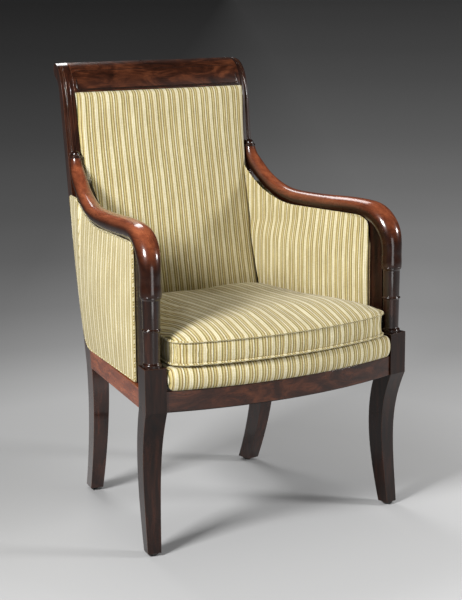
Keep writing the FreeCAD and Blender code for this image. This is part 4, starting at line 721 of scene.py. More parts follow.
# Crown, swells and border
RISE_REACH = 0.15
RISE_POWER = 0.62
CUSHION_SWELL = 0.0011
CUSHION_SWELL_REACH = 0.06
CUSHION_WAVES = [(21, 9, 0.0), (-6, 17, 0.8)]
UNDER_LIFT = 0.004
UNDER_REACH = 0.02
BORDER_DRAW = 0.0030
BORDER_STEPS = 10
BORDER_SLOPE = 0.7
LOOP_STEPS = 900
# Filling, and where the cover is held while it is filled
VOXEL = 0.0055
FILL_STEPS = 20
FILL_CAP = 0.008
SEAM_REACH = 0.005
LOW_SEAM_HEIGHT = 0.007
RESTING_HEIGHT = 0.002
WELT_HEIGHTS = {"top": CUSHION_WELT + 0.0005, "bottom": CUSHION_BOTTOM + 0.0055}


def cushion_sides():
    """The cushion's plan: bowed front, straight sides that follow the arms, straight rear, round corners."""
    front_s, rear_s = [(y + POSTS_AHEAD - CUSHION_SIDE * math.sin(SPLAY)) / math.cos(SPLAY)
                       for y in (CUSHION_CORNER_Y, CUSHION_REAR)]
    front_x = on_side(CUSHION_SIDE, front_s, 0.0, 1.0)[0]
    rear_x = on_side(CUSHION_SIDE, rear_s, 0.0, 1.0)[0]
    rise = CUSHION_CORNER_Y - CUSHION_FRONT
    radius = (front_x**2 + rise**2) / (2 * rise)
    x = np.linspace(-front_x, front_x, 200)
    bow = np.stack([x, CUSHION_FRONT + radius - np.sqrt(radius**2 - x**2)], -1)
    right = (rear_x, CUSHION_REAR)
    left = (-rear_x, CUSHION_REAR)
    return round_corners([bow, segment(bow[-1], right), segment(right, left), segment(left, bow[0])],
                         CUSHION_CUTS)


def cushion_form(crown):
    """Places and quads of the boxed cushion: crowned top, drawn-in border, slightly rounded bottom.

    The top rises from its edge as a sine of the distance to the edge, with the low swells of a used filling.
    """
    grid, reach = patch(cushion_sides(), CUSHION_GRID)
    rise = np.sin(np.clip(reach / RISE_REACH, 0.0, 1.0)**RISE_POWER * math.pi / 2)
    swell = CUSHION_SWELL * swells(grid[..., 0], grid[..., 1], CUSHION_WAVES)
    top = CUSHION_WELT + crown * rise + swell * smooth_step(reach / CUSHION_SWELL_REACH)
    bottom = CUSHION_BOTTOM + UNDER_LIFT * (1 - np.clip(reach / UNDER_REACH, 0.0, 1.0))**2
    count = reach.size
    index = np.arange(count).reshape(reach.shape)
    ring = np.concatenate([index[:, 0], index[-1, 1:], index[-2::-1, -1], index[0, -2:0:-1]])
    plan = grid.reshape(-1, 2)[ring]
    steps = np.linspace(0, 1, BORDER_STEPS)[1:-1]
    draw = BORDER_DRAW * np.sin(steps * math.pi)
    rows = plan[None] + draw[:, None, None] * inward(plan)[None]
    low = bottom.ravel()[ring]
    high = top.ravel()[ring]
    heights = low[None] + steps[:, None] * (high - low)[None]
    border = np.concatenate([rows, heights[..., None]], -1)
    levels = [np.concatenate([grid, level[..., None]], -1) for level in (top, bottom)]
    places = np.concatenate([part.reshape(-1, 3) for part in (*levels, border)])
    between = 2 * count + np.arange(border[..., 0].size).reshape(border.shape[:2])
    belt = np.concatenate([(count + ring)[None], between, ring[None]])
    belt = np.concatenate([belt, belt[:, :1]], 1)
    faces = np.concatenate([grid_faces(index), grid_faces(count + index)[:, ::-1], grid_faces(belt)])
    return places, faces


def remeshed(piece, voxel):
    """Replaces a piece's mesh by one of even quads."""
    modifier = piece.modifiers.new("even", "REMESH")
    modifier.mode = "VOXEL"
    modifier.voxel_size = voxel
    keep_modified(piece)


def keep_modified(piece):
    """Applies all of a piece's modifiers to its mesh."""
    graph = bpy.context.evaluated_depsgraph_get()
    mesh = bpy.data.meshes.new_from_object(piece.evaluated_get(graph))
    piece.modifiers.clear()
    mesh.name = piece.name
    piece.data = mesh


def inflate(piece, pins, pressure, cap):
    """Fills a closed cover with air pressure by a cloth simulation, held at pinned vertices, and keeps that.

    No vertex moves further than the cap.
    """
    start = places_of(piece.data)
    group = piece.vertex_groups.new(name="pins")
    group.add(np.flatnonzero(pins).tolist(), 1.0, "REPLACE")
    modifier = piece.modifiers.new("fill", "CLOTH")
    rules = modifier.settings
    rules.quality = 6
    rules.use_pressure = True
    rules.uniform_pressure_force = pressure
    rules.vertex_group_mass = group.name
    rules.shrink_min = -0.012
    rules.bending_stiffness = 0.3
    rules.effector_weights.gravity = 0.0
    modifier.collision_settings.use_collision = False
    scene = bpy.context.scene
    for step in range(1, FILL_STEPS + 1):
        scene.frame_set(step)
    graph = bpy.context.evaluated_depsgraph_get()
    filled = places_of(piece.evaluated_get(graph).to_mesh())
    piece.evaluated_get(graph).to_mesh_clear()
    piece.modifiers.clear()
    scene.frame_set(1)
    move = filled - start
    far = np.linalg.norm(move, axis=1)[:, None]
    move *= np.minimum(1.0, cap / np.maximum(far, 1e-9))
    piece.data.vertices.foreach_set("co", (start + move).ravel())
    piece.vertex_groups.clear()
    piece.data.update()


def build_cushion(settings):
    """Loose boxed cushion with a welt round its top and bottom edges."""
    loop = closed_loop(cushion_sides(), LOOP_STEPS)
    places, faces = cushion_form(settings.crown)
    cushion = new_piece("seat_cushion_cover", places, faces, places[:, :2], cloth())
    remeshed(cushion, VOXEL)
    places = places_of(cushion.data)
    height = places[:, 2]
    at_seam = (np.abs(height - CUSHION_WELT) < SEAM_REACH) | (height < CUSHION_BOTTOM + LOW_SEAM_HEIGHT)
    seam = at_seam & (distance_to(places[:, :2], loop[::2]) < SEAM_REACH)
    resting = height < CUSHION_BOTTOM + RESTING_HEIGHT
    inflate(cushion, seam | resting, settings.pressure, FILL_CAP)
    ease = cushion.modifiers.new("ease", "SMOOTH")
    ease.factor = 0.5
    ease.iterations = 6
    keep_modified(cushion)
    cushion_uv(cushion.data, loop)
    shade_smooth(cushion.data)
    finer = cushion.modifiers.new("finer", "SUBSURF")
    finer.levels = 1
    finer.render_levels = 1
    settle(cushion, "seat_cushion", ["seat_cushion"])
    for name, height in WELT_HEIGHTS.items():
        path = np.concatenate([loop[::2], np.full((len(loop[::2]), 1), height)], 1)
        cover(f"seat_cushion_{name}_welt", *tube(path, settings.welt), body="seat_cushion")


def cushion_uv(mesh, loop):
    """Stripes run front to back over the top and bottom, and up the border, where they meet the top's."""
    places = places_of(mesh)
    run = np.cumsum(np.abs(np.diff(loop, axis=0, append=loop[:1])).max(1))
    front_middle = np.argmin(np.where(loop[:, 1] > 0, np.inf, np.abs(loop[:, 0])))
    run = run - run[front_middle]
    corner = corners_of(mesh)
    steep = np.abs(vectors_of(mesh.polygons, "normal")[:, 2]) < BORDER_SLOPE
    below_welt = vectors_of(mesh.polygons, "center")[:, 2] < CUSHION_WELT
    on_border = np.repeat(steep & below_welt, counts_of(mesh.polygons, "loop_total"))
    up_border = np.stack([run[nearest(places[:, :2], loop)], places[:, 2]], -1)
    set_cloth_uv(mesh, np.where(on_border[:, None], up_border[corner], places[corner, :2]))


# Tight covers

# Seat deck: heights, side line, which steps out behind the posts, and front roll
DECK_LOW = 0.3456
DECK_TOP = 0.3918
DECK_REAR = 0.1442
DECK_SIDE_RUN = (-0.030, 0.40)
DECK_SIDE = -0.0242
DECK_SIDE_STEP = 0.0112
DECK_STEP_START = 0.030
DECK_STEP_RUN = 0.02
DECK_OVERHANG = 0.0090
DECK_CUTS = [0.014, 0.014, 0.010, 0.010]
DECK_GRID = (110, 80)
DECK_EDGE = 0.0105
ROLL_DEPTH = 0.0265
ROLL_START = 0.009
ROLL_RUN = 0.0105


def build_deck():
    """Tight seat under the cushion, with a padded roll above the bowed front rail.

    Its top is level. Behind the roll, its underside rises by a smooth step of the distance from the bow.
    """
    s = np.linspace(*DECK_SIDE_RUN, SIDE_STEPS)
    t = DECK_SIDE + DECK_SIDE_STEP * smooth_step((s - DECK_STEP_START) / DECK_STEP_RUN)
    side = on_side(t, s, np.zeros_like(s), 1.0)[:, :2]
    radius = BOW_RADIUS + DECK_OVERHANG
    start = np.interp(0.0, side[:, 1] - bow_y(side[:, 0], radius), s)
    side = side[(s > start) & (side[:, 1] < DECK_REAR)]
    x = np.linspace(-side[0, 0], side[0, 0], 200)
    bow = np.stack([x, bow_y(x, radius)], -1)
    side[0] = bow[-1]
    mirrored = side[::-1] * MIRROR
    mirrored[-1] = bow[0]
    sides = round_corners([bow, side, segment(side[-1], mirrored[0]), mirrored], DECK_CUTS)
    grid, reach = patch(sides, DECK_GRID)
    behind = grid[..., 1] - bow_y(grid[..., 0], radius)
    low = DECK_LOW + ROLL_DEPTH * smooth_step((behind - ROLL_START) / ROLL_RUN)
    places, faces = pillow(grid, reach, DECK_EDGE, DECK_TOP, low)
    uv = np.stack([places[:, 0], places[:, 1] - places[:, 2]], -1)
    cover("seat_deck_cover", places, faces, uv, ["seat_deck"], 0.9)


# Inside back: depth ahead of and behind the stiles' front, crown and swells
BACK_AHEAD = 0.009
BACK_BEHIND = 0.004
BACK_CROWN = 0.007
BACK_BELLY = 0.013
BACK_BELLY_LOW = 0.396
BACK_BELLY_HEIGHT = 0.508
BACK_SWELL = 0.0006
BACK_SWELL_REACH = 0.05
BACK_WAVES = [(23, 5, 0.0), (-4, 19, 0.0)]
BACK_CUTS = [0.003] * 4
BACK_GRID = (96, 96)
BACK_EDGE = 0.011
UNDER_CREST = CREST_BOTTOM - 0.0008
STILE_CLEARANCE = 0.0006


def back_half(z):
    """Half the clear width between the stiles at a height."""
    inner = stile_lean(z) - stile_half(z)
    middle = POST_HALF_SPACING - (stile_front(z) - BACK_AHEAD) * math.sin(SPLAY)
    return middle + inner * math.cos(SPLAY) - STILE_CLEARANCE


def between_stiles(low, high, inset=0.0):
    """Four sides between the stiles, in x and z."""
    z = np.linspace(low, high, SIDE_STEPS)
    right = np.stack([back_half(z) - inset, z], -1)
    left = right[::-1] * MIRROR
    return [segment(left[-1], right[0]), right, segment(right[-1], left[0]), left]


def build_inside_back():
    """Tight padded back, tucked between the stiles and under the crest.

    Its crown is a parabola across the width, deepest at half its height, with low swells.
    """
    sides = round_corners(between_stiles(PAD_BOTTOM, UNDER_CREST), BACK_CUTS)
    grid, reach = patch(sides, BACK_GRID)
    x, z = grid[..., 0], grid[..., 1]
    share = 1 - (x / back_half(z))**2
    line = across_y(stile_front(z))
    belly = np.sin(math.pi * np.clip((z - BACK_BELLY_LOW) / BACK_BELLY_HEIGHT, 0.0, 1.0))
    swell = BACK_SWELL * swells(x, z, BACK_WAVES) * smooth_step(reach / BACK_SWELL_REACH)
    face = line - BACK_AHEAD - share * (BACK_CROWN + BACK_BELLY * belly) - swell
    shape, faces = pillow(grid, reach, BACK_EDGE, face, line + BACK_BEHIND)
    cover("inside_back_cover", shape[:, [0, 2, 1]], faces, shape[:, :2], ["back_pad"], 0.9)


def under_arm(start, end, share, count):
    """A line below the arm's axis by a share of its radius, measured square to the slope."""
    s = np.linspace(start, end, count)
    axis, radius, slope = arm_axis(s)
    return np.stack([s, axis - share * radius / slope], -1)


def arm_panel_sides(top, rear, cuts):
    """Outline of an arm's panel: a level bottom, the stile, the line under the arm and an upright front."""
    rear = rear[rear[:, 1] < np.interp(rear[:, 0], top[:, 0], top[:, 1])]
    top = top[top[:, 0] < rear[-1, 0]]
    corner = (top[0, 0], rear[0, 1])
    return round_corners([segment(corner, rear[0]), rear, np.concatenate([rear[-1:], top[::-1]]),
                          segment(top[0], corner)], cuts)


# Inside arm pads: outline, crown, lean at the top and round of the edge
ARM_PAD_START = 0.0555
ARM_PAD_END = 0.46
ARM_PAD_LOW = PAD_BOTTOM + 0.0004
ARM_PAD_HIGH = 0.71
ARM_PAD_UNDER_AXIS = 0.42
ARM_PAD_CUTS = [0.004, 0.004, 0.010, 0.030]
ARM_PAD_GRID = (90, 80)
ARM_PAD_STILE_GAP = 0.0138
ARM_PAD_FRONT = 0.055
ARM_PAD_HALF_RUN = (0.4055 - ARM_PAD_FRONT) / 2
ARM_PAD_MIDDLE = 0.5128
ARM_PAD_FACE = -0.0316
ARM_PAD_CROWN = 0.011
ARM_PAD_FLAT = 0.06
ARM_PAD_SHALLOWEST = 0.0195
ARM_PAD_BACK = -0.0102
ARM_PAD_THINNEST = 0.0012
ARM_CLEARANCE = 0.0010
LEAN_START = 0.55
LEAN_RUN = 0.10
LEAN_MOST = 0.0078
ARM_PAD_REAR_EDGE = 0.004
ARM_PAD_EDGE_GAIN = 0.005
ARM_PAD_EDGE_RUN = 0.05


def build_inside_arms():
    """Tight padded arm covers inside the seat, with a low crown and a round top edge under the arm.

    The crown is part of a ball. Towards the top the pad leans outward with the arm, and stays clear of it.
    """
    z = np.linspace(ARM_PAD_LOW, ARM_PAD_HIGH, 400)
    rear = np.stack([stile_front(z) - ARM_PAD_STILE_GAP, z], -1)
    top = under_arm(ARM_PAD_START, ARM_PAD_END, ARM_PAD_UNDER_AXIS, 400)
    grid, reach = patch(arm_panel_sides(top, rear, ARM_PAD_CUTS), ARM_PAD_GRID)
    s, z = grid[..., 0], grid[..., 1]
    ball = (ARM_PAD_HALF_RUN**2 + ARM_PAD_CROWN**2) / (2 * ARM_PAD_CROWN)
    away = (s - ARM_PAD_FRONT - ARM_PAD_HALF_RUN)**2 + (z - ARM_PAD_MIDDLE)**2
    crowned = ARM_PAD_FACE + ball - np.sqrt(ball**2 - np.minimum(away, ARM_PAD_FLAT))
    lean = np.minimum(LEAN_MOST, arm_drift(s) * smooth_step((z - LEAN_START) / LEAN_RUN))
    back = np.minimum(ARM_PAD_BACK, arm_drift(s) - arm_reach(s, z) - ARM_CLEARANCE)
    face = np.minimum(crowned + lean, np.minimum(lean - ARM_PAD_SHALLOWEST, back - ARM_PAD_THINNEST))
    from_stile = (stile_front(z) - ARM_PAD_STILE_GAP - s) / ARM_PAD_EDGE_RUN
    edge = ARM_PAD_REAR_EDGE + ARM_PAD_EDGE_GAIN * smooth_step(from_stile)
    shape, faces = pillow(grid, reach, edge, face, back)
    for name, side in SIDES.items():
        places = on_side(shape[:, 2], shape[:, 0], shape[:, 1], side)
        cover(f"{name}_inside_arm_cover", places, faces, shape[:, :2], [f"{name}_inside_arm_pad"], 0.9)


# Outside arm covers: base, bulge, outline and piping
COVER_FRONT = 0.070
COVER_FLARE_RUN = 0.395 - COVER_FRONT
COVER_ON_RAIL = 0.0103
COVER_FLARE = 0.009
COVER_ON_POST = 0.010
COVER_PAST_ARM = 0.005
COVER_LIFT = 0.0003
COVER_ARM_CLEARANCE = 0.0006
STILE_REGION = 0.41
COVER_RULED_LOW = 0.3453
COVER_BULGE = 0.009
COVER_BULGE_RUN = 0.478
COVER_LOW = 0.3458
COVER_HIGH = 0.678
COVER_CEILING = 0.6795
COVER_START = 0.0704
COVER_END = 0.53
COVER_UNDER_AXIS = 0.84
COVER_STILE_GAP = 0.0164
COVER_CUTS = [0.004, 0.050, 0.012, 0.028]
COVER_GRID = (96, 80)
COVER_EDGE = 0.0045
COVER_DEPTH = 0.003
PIPING_STEPS = 620
PIPING_INSET = 0.0022
PIPING_RADIUS = 0.0017


def cover_face(s, z):
    """How far outward the outside arm cover's base lies, and how far it bulges from there.

    The base is ruled from the rail to the arm, and clears the arm beside it. The bulge is a product of sines.
    """
    low = COVER_ON_RAIL + COVER_FLARE * np.clip((s - COVER_FRONT) / COVER_FLARE_RUN, 0.0, 1.0)
    on_arm = np.maximum(COVER_ON_POST, arm_drift(s) + COVER_PAST_ARM) + COVER_LIFT
    on_stile = stile_half(z) + stile_lean(z) + COVER_LIFT
    high = np.where(s > STILE_REGION, np.maximum(on_arm, on_stile), on_arm)
    share = np.clip((z - COVER_RULED_LOW) / (arm_underside(s) - COVER_RULED_LOW), 0.0, 1.0)
    ruled = low + (high - low) * share
    reach = arm_reach(s, z)
    base = np.where(reach > 0, np.maximum(ruled, arm_drift(s) + reach + COVER_ARM_CLEARANCE), ruled)
    across = np.clip((s - COVER_FRONT) / COVER_BULGE_RUN, 0.0, 1.0)
    return base, COVER_BULGE * np.sin(math.pi * across) * np.sin(math.pi * share)


def build_outside_arms():
    """Outside arm covers, drawn tight over a light filling, with a fine piping round the edge."""
    z = np.linspace(COVER_LOW, COVER_HIGH, 300)
    rear = np.stack([stile_back(z) - COVER_STILE_GAP, z], -1)
    top = under_arm(COVER_START, COVER_END, COVER_UNDER_AXIS, 500)
    top[:, 1] = np.minimum(top[:, 1], COVER_CEILING)
    sides = arm_panel_sides(top, rear, COVER_CUTS)
    grid, reach = patch(sides, COVER_GRID)
    base, bulge = cover_face(grid[..., 0], grid[..., 1])
    shape, faces = pillow(grid, reach, COVER_EDGE, base + COVER_DEPTH + bulge, base)
    loop = closed_loop(sides, PIPING_STEPS)
    loop = loop + PIPING_INSET * inward(loop)
    seat = cover_face(loop[:, 0], loop[:, 1])[0] + COVER_DEPTH
    for name, side in SIDES.items():
        places = on_side(shape[:, 2], shape[:, 0], shape[:, 1], side)
        cover(f"{name}_outside_arm_panel", places, faces, shape[:, :2], [f"{name}_outside_arm_cover"], 0.7)
        path = on_side(seat, loop[:, 0], loop[:, 1], side)
        outward = (side * math.cos(SPLAY), math.sin(SPLAY), 0.0)
        cover(f"{name}_outside_arm_piping", *tube(path, PIPING_RADIUS, 10, outward))


# Outside back
OUTSIDE_BACK_INSET = 0.0010
OUTSIDE_BACK_CUTS = [0.004] * 4
OUTSIDE_BACK_GRID = (72, 90)
OUTSIDE_BACK_EDGE = 0.004
OUTSIDE_BACK_SUNK = 0.0030
OUTSIDE_BACK_DEPTH = 0.0028


def build_outside_back():
    """Outside back cover between the stiles, drawn tight over a thin filling and flat across."""
    sides = round_corners(between_stiles(COVER_LOW, UNDER_CREST, OUTSIDE_BACK_INSET), OUTSIDE_BACK_CUTS)
    grid, reach = patch(sides, OUTSIDE_BACK_GRID)
    line = across_y(stile_back(grid[..., 1])) - OUTSIDE_BACK_SUNK
    shape, faces = pillow(grid, reach, OUTSIDE_BACK_EDGE, line, line - OUTSIDE_BACK_DEPTH)
    cover("outside_back_panel", shape[:, [0, 2, 1]], faces, shape[:, :2], ["outside_back_cover"], 0.6)


# Right half of the dust cover's edge behind its bowed front: notched round the leg block and the stile
DUST_COVER_EDGE = [(0.2724, -0.2567), (0.2649, -0.2156), (0.2971, -0.2096), (0.2342, 0.1335),
                   (0.2026, 0.13365), (0.1973, 0.1628)]
DUST_COVER_BOW = 0.9005
DUST_COVER_GRID = (90, 140)
DUST_COVER_TOP = 0.3008
DUST_COVER_UNDERSIDE = 0.2996
DUST_COVER_ROUND = 0.0012
DUST_COVER_SAG = 0.0025
DUST_COVER_SAG_REACH = 0.16


def build_dust_cover():
    """Thin cloth drawn flat under the seat rails and notched round the legs.

    It sags by a smooth step of the distance from its edge.
    """
    edge = np.array(DUST_COVER_EDGE)
    x = np.linspace(-edge[0, 0], edge[0, 0], 160)
    bow = np.stack([x, bow_y(x, DUST_COVER_BOW)], -1)
    right = np.concatenate([bow[-1:], edge[1:]])
    left = right[::-1] * MIRROR
    sides = [bow, right, segment(right[-1], left[0]), left]
    grid, reach = patch(sides, DUST_COVER_GRID)
    sag = DUST_COVER_SAG * smooth_step(reach / DUST_COVER_SAG_REACH)
    shape, faces = pillow(grid, reach, DUST_COVER_ROUND, DUST_COVER_TOP - sag, DUST_COVER_UNDERSIDE - sag)
    cambric = woven("black_cambric", (0.012, 0.012, 0.013), (0.035, 0.034, 0.033), 0.0009)
    sheet = new_piece("dust_cover_cloth", shape, faces, shape[:, :2], cambric)
    settle(sheet, "chair_frame", ["dust_cover"])


# Mouldings

# Beads, and each ring's height and the radius of its middle line
BEAD_SINK = 0.0003
STILE_BEAD_LOW = 0.705
STILE_BEAD_HIGH = 0.946
STILE_BEAD_HALF = 0.0058
STILE_BEAD_RADIUS = 0.0013
CREST_BEAD_LOW = 0.9085
CREST_BEAD_HIGH = 0.9480
CREST_BEAD_INSET = 0.0080
CREST_BEAD_CUTS = [0.004] * 4
CREST_BEAD_RADIUS = 0.0020
CREST_FACING = (0.0, -1.0, 0.4)
POST_RINGS = [(0.5360, 0.0202), (0.4690, 0.0185), (0.3985, 0.0184)]
POST_RING_RADIUS = 0.0017


def build_stile_beads():
    """A fine bead that runs up one edge of each stile's front, round its top and down the other edge."""
    z = np.linspace(STILE_BEAD_LOW, STILE_BEAD_HIGH, 150)
    turn = np.linspace(0, math.pi, 16)[1:-1]
    edge = np.full_like(z, STILE_BEAD_HALF)
    across = STILE_BEAD_HALF * np.cos(turn)
    over = STILE_BEAD_HALF * np.sin(turn)
    path_t = np.concatenate([edge, across, -edge, -across])
    path_z = np.concatenate([z, z[-1] + over, z[::-1], z[0] - over])
    for name, side in SIDES.items():
        path = on_side(path_t + stile_lean(path_z), stile_front(path_z) + BEAD_SINK, path_z, side)
        ahead = (side * math.sin(SPLAY), -math.cos(SPLAY), 0.0)
        moulding(f"{name}_stile_bead", path, STILE_BEAD_RADIUS, "mahogany_upright", 10, ahead)


def build_crest_bead():
    """A fine bead round the crest's face, set in from its edges."""
    low, high = CREST_BEAD_LOW, CREST_BEAD_HIGH
    x = back_half(np.array([low, high])) - CREST_BEAD_INSET
    corners = [(-x[0], low), (x[0], low), (x[1], high), (-x[1], high)]
    sides = [segment(corners[number], corners[(number + 1) % 4]) for number in range(4)]
    loop = closed_loop(round_corners(sides, CREST_BEAD_CUTS), 700)
    path = np.stack([loop[:, 0], across_y(stile_front(loop[:, 1])) + BEAD_SINK, loop[:, 1]], -1)
    moulding("crest_bead", path, CREST_BEAD_RADIUS, "mahogany_turned", up=CREST_FACING)


def build_post_rings():
    """Turned rings that stand a little proud of each arm post."""
    turn = np.linspace(0, 2 * math.pi, 72, endpoint=False)
    for name, side in SIDES.items():
        for number, (height, radius) in enumerate(POST_RINGS, 1):
            x = side * POST_HALF_SPACING + radius * np.cos(turn)
            y = radius * np.sin(turn) - POSTS_AHEAD
            path = np.stack([x, y, np.full_like(turn, height)], -1)
            moulding(f"{name}_post_ring_{number}", path, POST_RING_RADIUS, "mahogany_turned")


# Stage

FLOOR_HALF = 400.0
FLOOR_CORNERS = np.array([[-1, -1, 0], [1, -1, 0], [1, 1, 0], [-1, 1, 0]]) * FLOOR_HALF
# Painted light and shade: grey of the floor at distances from the chair, standing for the lamps' fall-off
FLOOR_STOPS = [(0.0, 0.38), (0.6, 0.38), (0.95, 0.42), (1.25, 0.38), (1.6, 0.31), (2.2, 0.275), (3.2, 0.30),
               (4.0, 0.36), (5.1, 0.37), (6.5, 0.35), (8.5, 0.29), (11.4, 0.25), (16.4, 0.20), (26.0, 0.16),
               (55.0, 0.128), (120.0, 0.11)]
# Painted light and shade across the floor: darker to the camera's left, paler to its right
FLOOR_LIGHT_DRIFT = 0.8
FLOOR_LIGHT_DRIFT_TONES = [(0.0, (0.72, 0.72, 0.72)), (1.0, (1.38, 1.38, 1.38))]
LAMP_SIZES = {"left": 0.65, "right": 0.55, "back": 1.1, "front": 0.8}
LAMP_TARGET = np.array([0.0, 0.0, 0.5])
MIRRORED_SHARE = 0.15
BEYOND_FLOOR = 0.024


def view_axes():
    """The camera's right, up and forward directions."""
    right = np.array([math.cos(CAMERA_YAW), math.sin(CAMERA_YAW), 0.0])
    level = np.array([-math.sin(CAMERA_YAW), math.cos(CAMERA_YAW), 0.0])
    rise = np.array(UP)
    ahead = level * math.cos(CAMERA_PITCH) + rise * math.sin(CAMERA_PITCH)
    up = rise * math.cos(CAMERA_PITCH) - level * math.sin(CAMERA_PITCH)
    turned_right = right * math.cos(CAMERA_ROLL) + up * math.sin(CAMERA_ROLL)
    turned_up = up * math.cos(CAMERA_ROLL) - right * math.sin(CAMERA_ROLL)
    return turned_right, turned_up, ahead


def build_stage(settings):
    """Pale floor with painted shade that darkens it with distance, four soft lamps and the camera."""
    mesh = bpy.data.meshes.new("studio_floor")
    mesh.from_pydata(FLOOR_CORNERS.tolist(), [], [(0, 1, 2, 3)])
    mesh.materials.append(floor_paint())
    floor = bpy.data.objects.new("studio_floor", mesh)
    bpy.context.scene.collection.objects.link(floor)
    for name, size in LAMP_SIZES.items():
        lamp(f"{name}_lamp", getattr(settings, f"{name}_place"), size, getattr(settings, f"{name}_power"))
    world = bpy.data.worlds.new("studio")
    bpy.context.scene.world = world
    world.use_nodes = True
    light_room(world.node_tree, settings.fill)
    place_camera()
    bpy.context.scene.view_settings.view_transform = "Standard"


def light_room(tree, fill):
    """Even light all round, a dim room where polished faces mirror it, and a dark one beyond the floor."""
    tree.nodes.clear()
    rays = tree.nodes.new("ShaderNodeLightPath")
    joined = None
    levels = [(fill, None), (MIRRORED_SHARE * fill, "Is Glossy Ray"), (BEYOND_FLOOR, "Is Camera Ray")]
    for level, seen_by in levels:
        light = tree.nodes.new("ShaderNodeBackground")
        light.inputs["Color"].default_value = (*WHITE, 1.0)
        light.inputs["Strength"].default_value = level
        shader = light.outputs[0]
        if joined is not None:
            both = tree.nodes.new("ShaderNodeMixShader")
            tree.links.new(rays.outputs[seen_by], both.inputs[0])
            tree.links.new(joined, both.inputs[1])
            tree.links.new(shader, both.inputs[2])
            shader = both.outputs[0]
        joined = shader
    tree.links.new(joined, tree.nodes.new("ShaderNodeOutputWorld").inputs["Surface"])


def floor_paint():
    """Matt floor grey that follows the logarithm of the distance from the chair and is paler to one side:
    painted light and shade.
    """
    make = Finish("floor_paint")
    place = make.place()
    longest = 1.0 + FLOOR_STOPS[-1][0]
    share = make.math("LOGARITHM", make.math("ADD", make.vectors("LENGTH", place), 1.0), longest)
    stops = [(math.log(1.0 + at) / math.log(longest), (grey,) * 3) for at, grey in FLOOR_STOPS]
    right = (math.cos(CAMERA_YAW), math.sin(CAMERA_YAW), 0.0)
    shift = make.spread(make.vectors("DOT_PRODUCT", place, right), 0.0, 1.0, -FLOOR_LIGHT_DRIFT, FLOOR_LIGHT_DRIFT)
    tone = make.blend("MULTIPLY", 1.0, make.ramp(share, stops), make.ramp(shift, FLOOR_LIGHT_DRIFT_TONES))
    return make.done({"Base Color": tone, "Roughness": 0.9, "Specular IOR Level": 0.1})


def lamp(name, place, size, power):
    """A square soft lamp that faces the seat."""
    data = bpy.data.lights.new(name, "AREA")
    data.shape = "SQUARE"
    data.size = size
    data.energy = power
    lit = bpy.data.objects.new(name, data)
    back = np.array(place) - LAMP_TARGET
    back /= np.linalg.norm(back)
    side = np.cross(UP, back)
    side /= np.linalg.norm(side)
    set_axes(lit, side, np.cross(back, side), back, place)
    lit.visible_camera = False


def set_axes(item, right, up, back, place):
    """Puts a lamp or the camera into the scene, turned to three axes at a place."""
    axes = np.eye(4)
    axes[:3, :4] = np.stack([right, up, back, np.array(place)], 1)
    item.matrix_world = Matrix(axes.tolist())
    bpy.context.scene.collection.objects.link(item)


def place_camera():
    """The camera at the viewing angle of the photograph."""
    data = bpy.data.cameras.new("view")
    data.sensor_fit = "AUTO"
    data.sensor_width = CAMERA_SENSOR
    data.lens = CAMERA_LENS
    camera = bpy.data.objects.new("view", data)
    right, up, ahead = view_axes()
    set_axes(camera, right, up, -ahead, CAMERA_PLACE)
    bpy.context.scene.camera = camera


# Settings

class ChairClothSettings(bpy.types.PropertyGroup):
    """The striped cover."""
    repeat: bpy.props.FloatProperty(
        name="Repeat", description="Width of one repeat of the stripes",
        default=0.029, min=0.005, unit="LENGTH")
    rib: bpy.props.FloatProperty(
        name="Rib", description="Spacing of the cross ribs", default=0.0030, min=0.0005, unit="LENGTH")
    ivory: bpy.props.FloatVectorProperty(
        name="Ivory", description="Colour of the pale bands",
        default=(0.82, 0.765, 0.580), min=0.0, max=1.0, subtype="COLOR")
    pale_gold: bpy.props.FloatVectorProperty(
        name="Pale gold", description="Colour of the broad gold lines",
        default=(0.66, 0.575, 0.310), min=0.0, max=1.0, subtype="COLOR")
    gold: bpy.props.FloatVectorProperty(
        name="Gold", description="Colour of the fine gold lines",
        default=(0.54, 0.435, 0.165), min=0.0, max=1.0, subtype="COLOR")
    olive: bpy.props.FloatVectorProperty(
        name="Olive", description="Colour of the olive lines",
        default=(0.18, 0.160, 0.060), min=0.0, max=1.0, subtype="COLOR")
    rust: bpy.props.FloatVectorProperty(
        name="Rust", description="Colour of the brown lines",
        default=(0.23, 0.135, 0.055), min=0.0, max=1.0, subtype="COLOR")


class ChairCushionSettings(bpy.types.PropertyGroup):
    """The loose cushion."""
    crown: bpy.props.FloatProperty(
        name="Crown", description="Rise of the top above its welt before filling",
        default=0.025, min=0.0, unit="LENGTH")
    welt: bpy.props.FloatProperty(
        name="Welt", description="Radius of the welts", default=0.0028, min=0.001, unit="LENGTH")
    pressure: bpy.props.FloatProperty(
        name="Filling", description="Pressure of the filling", default=4.0, min=0.0)


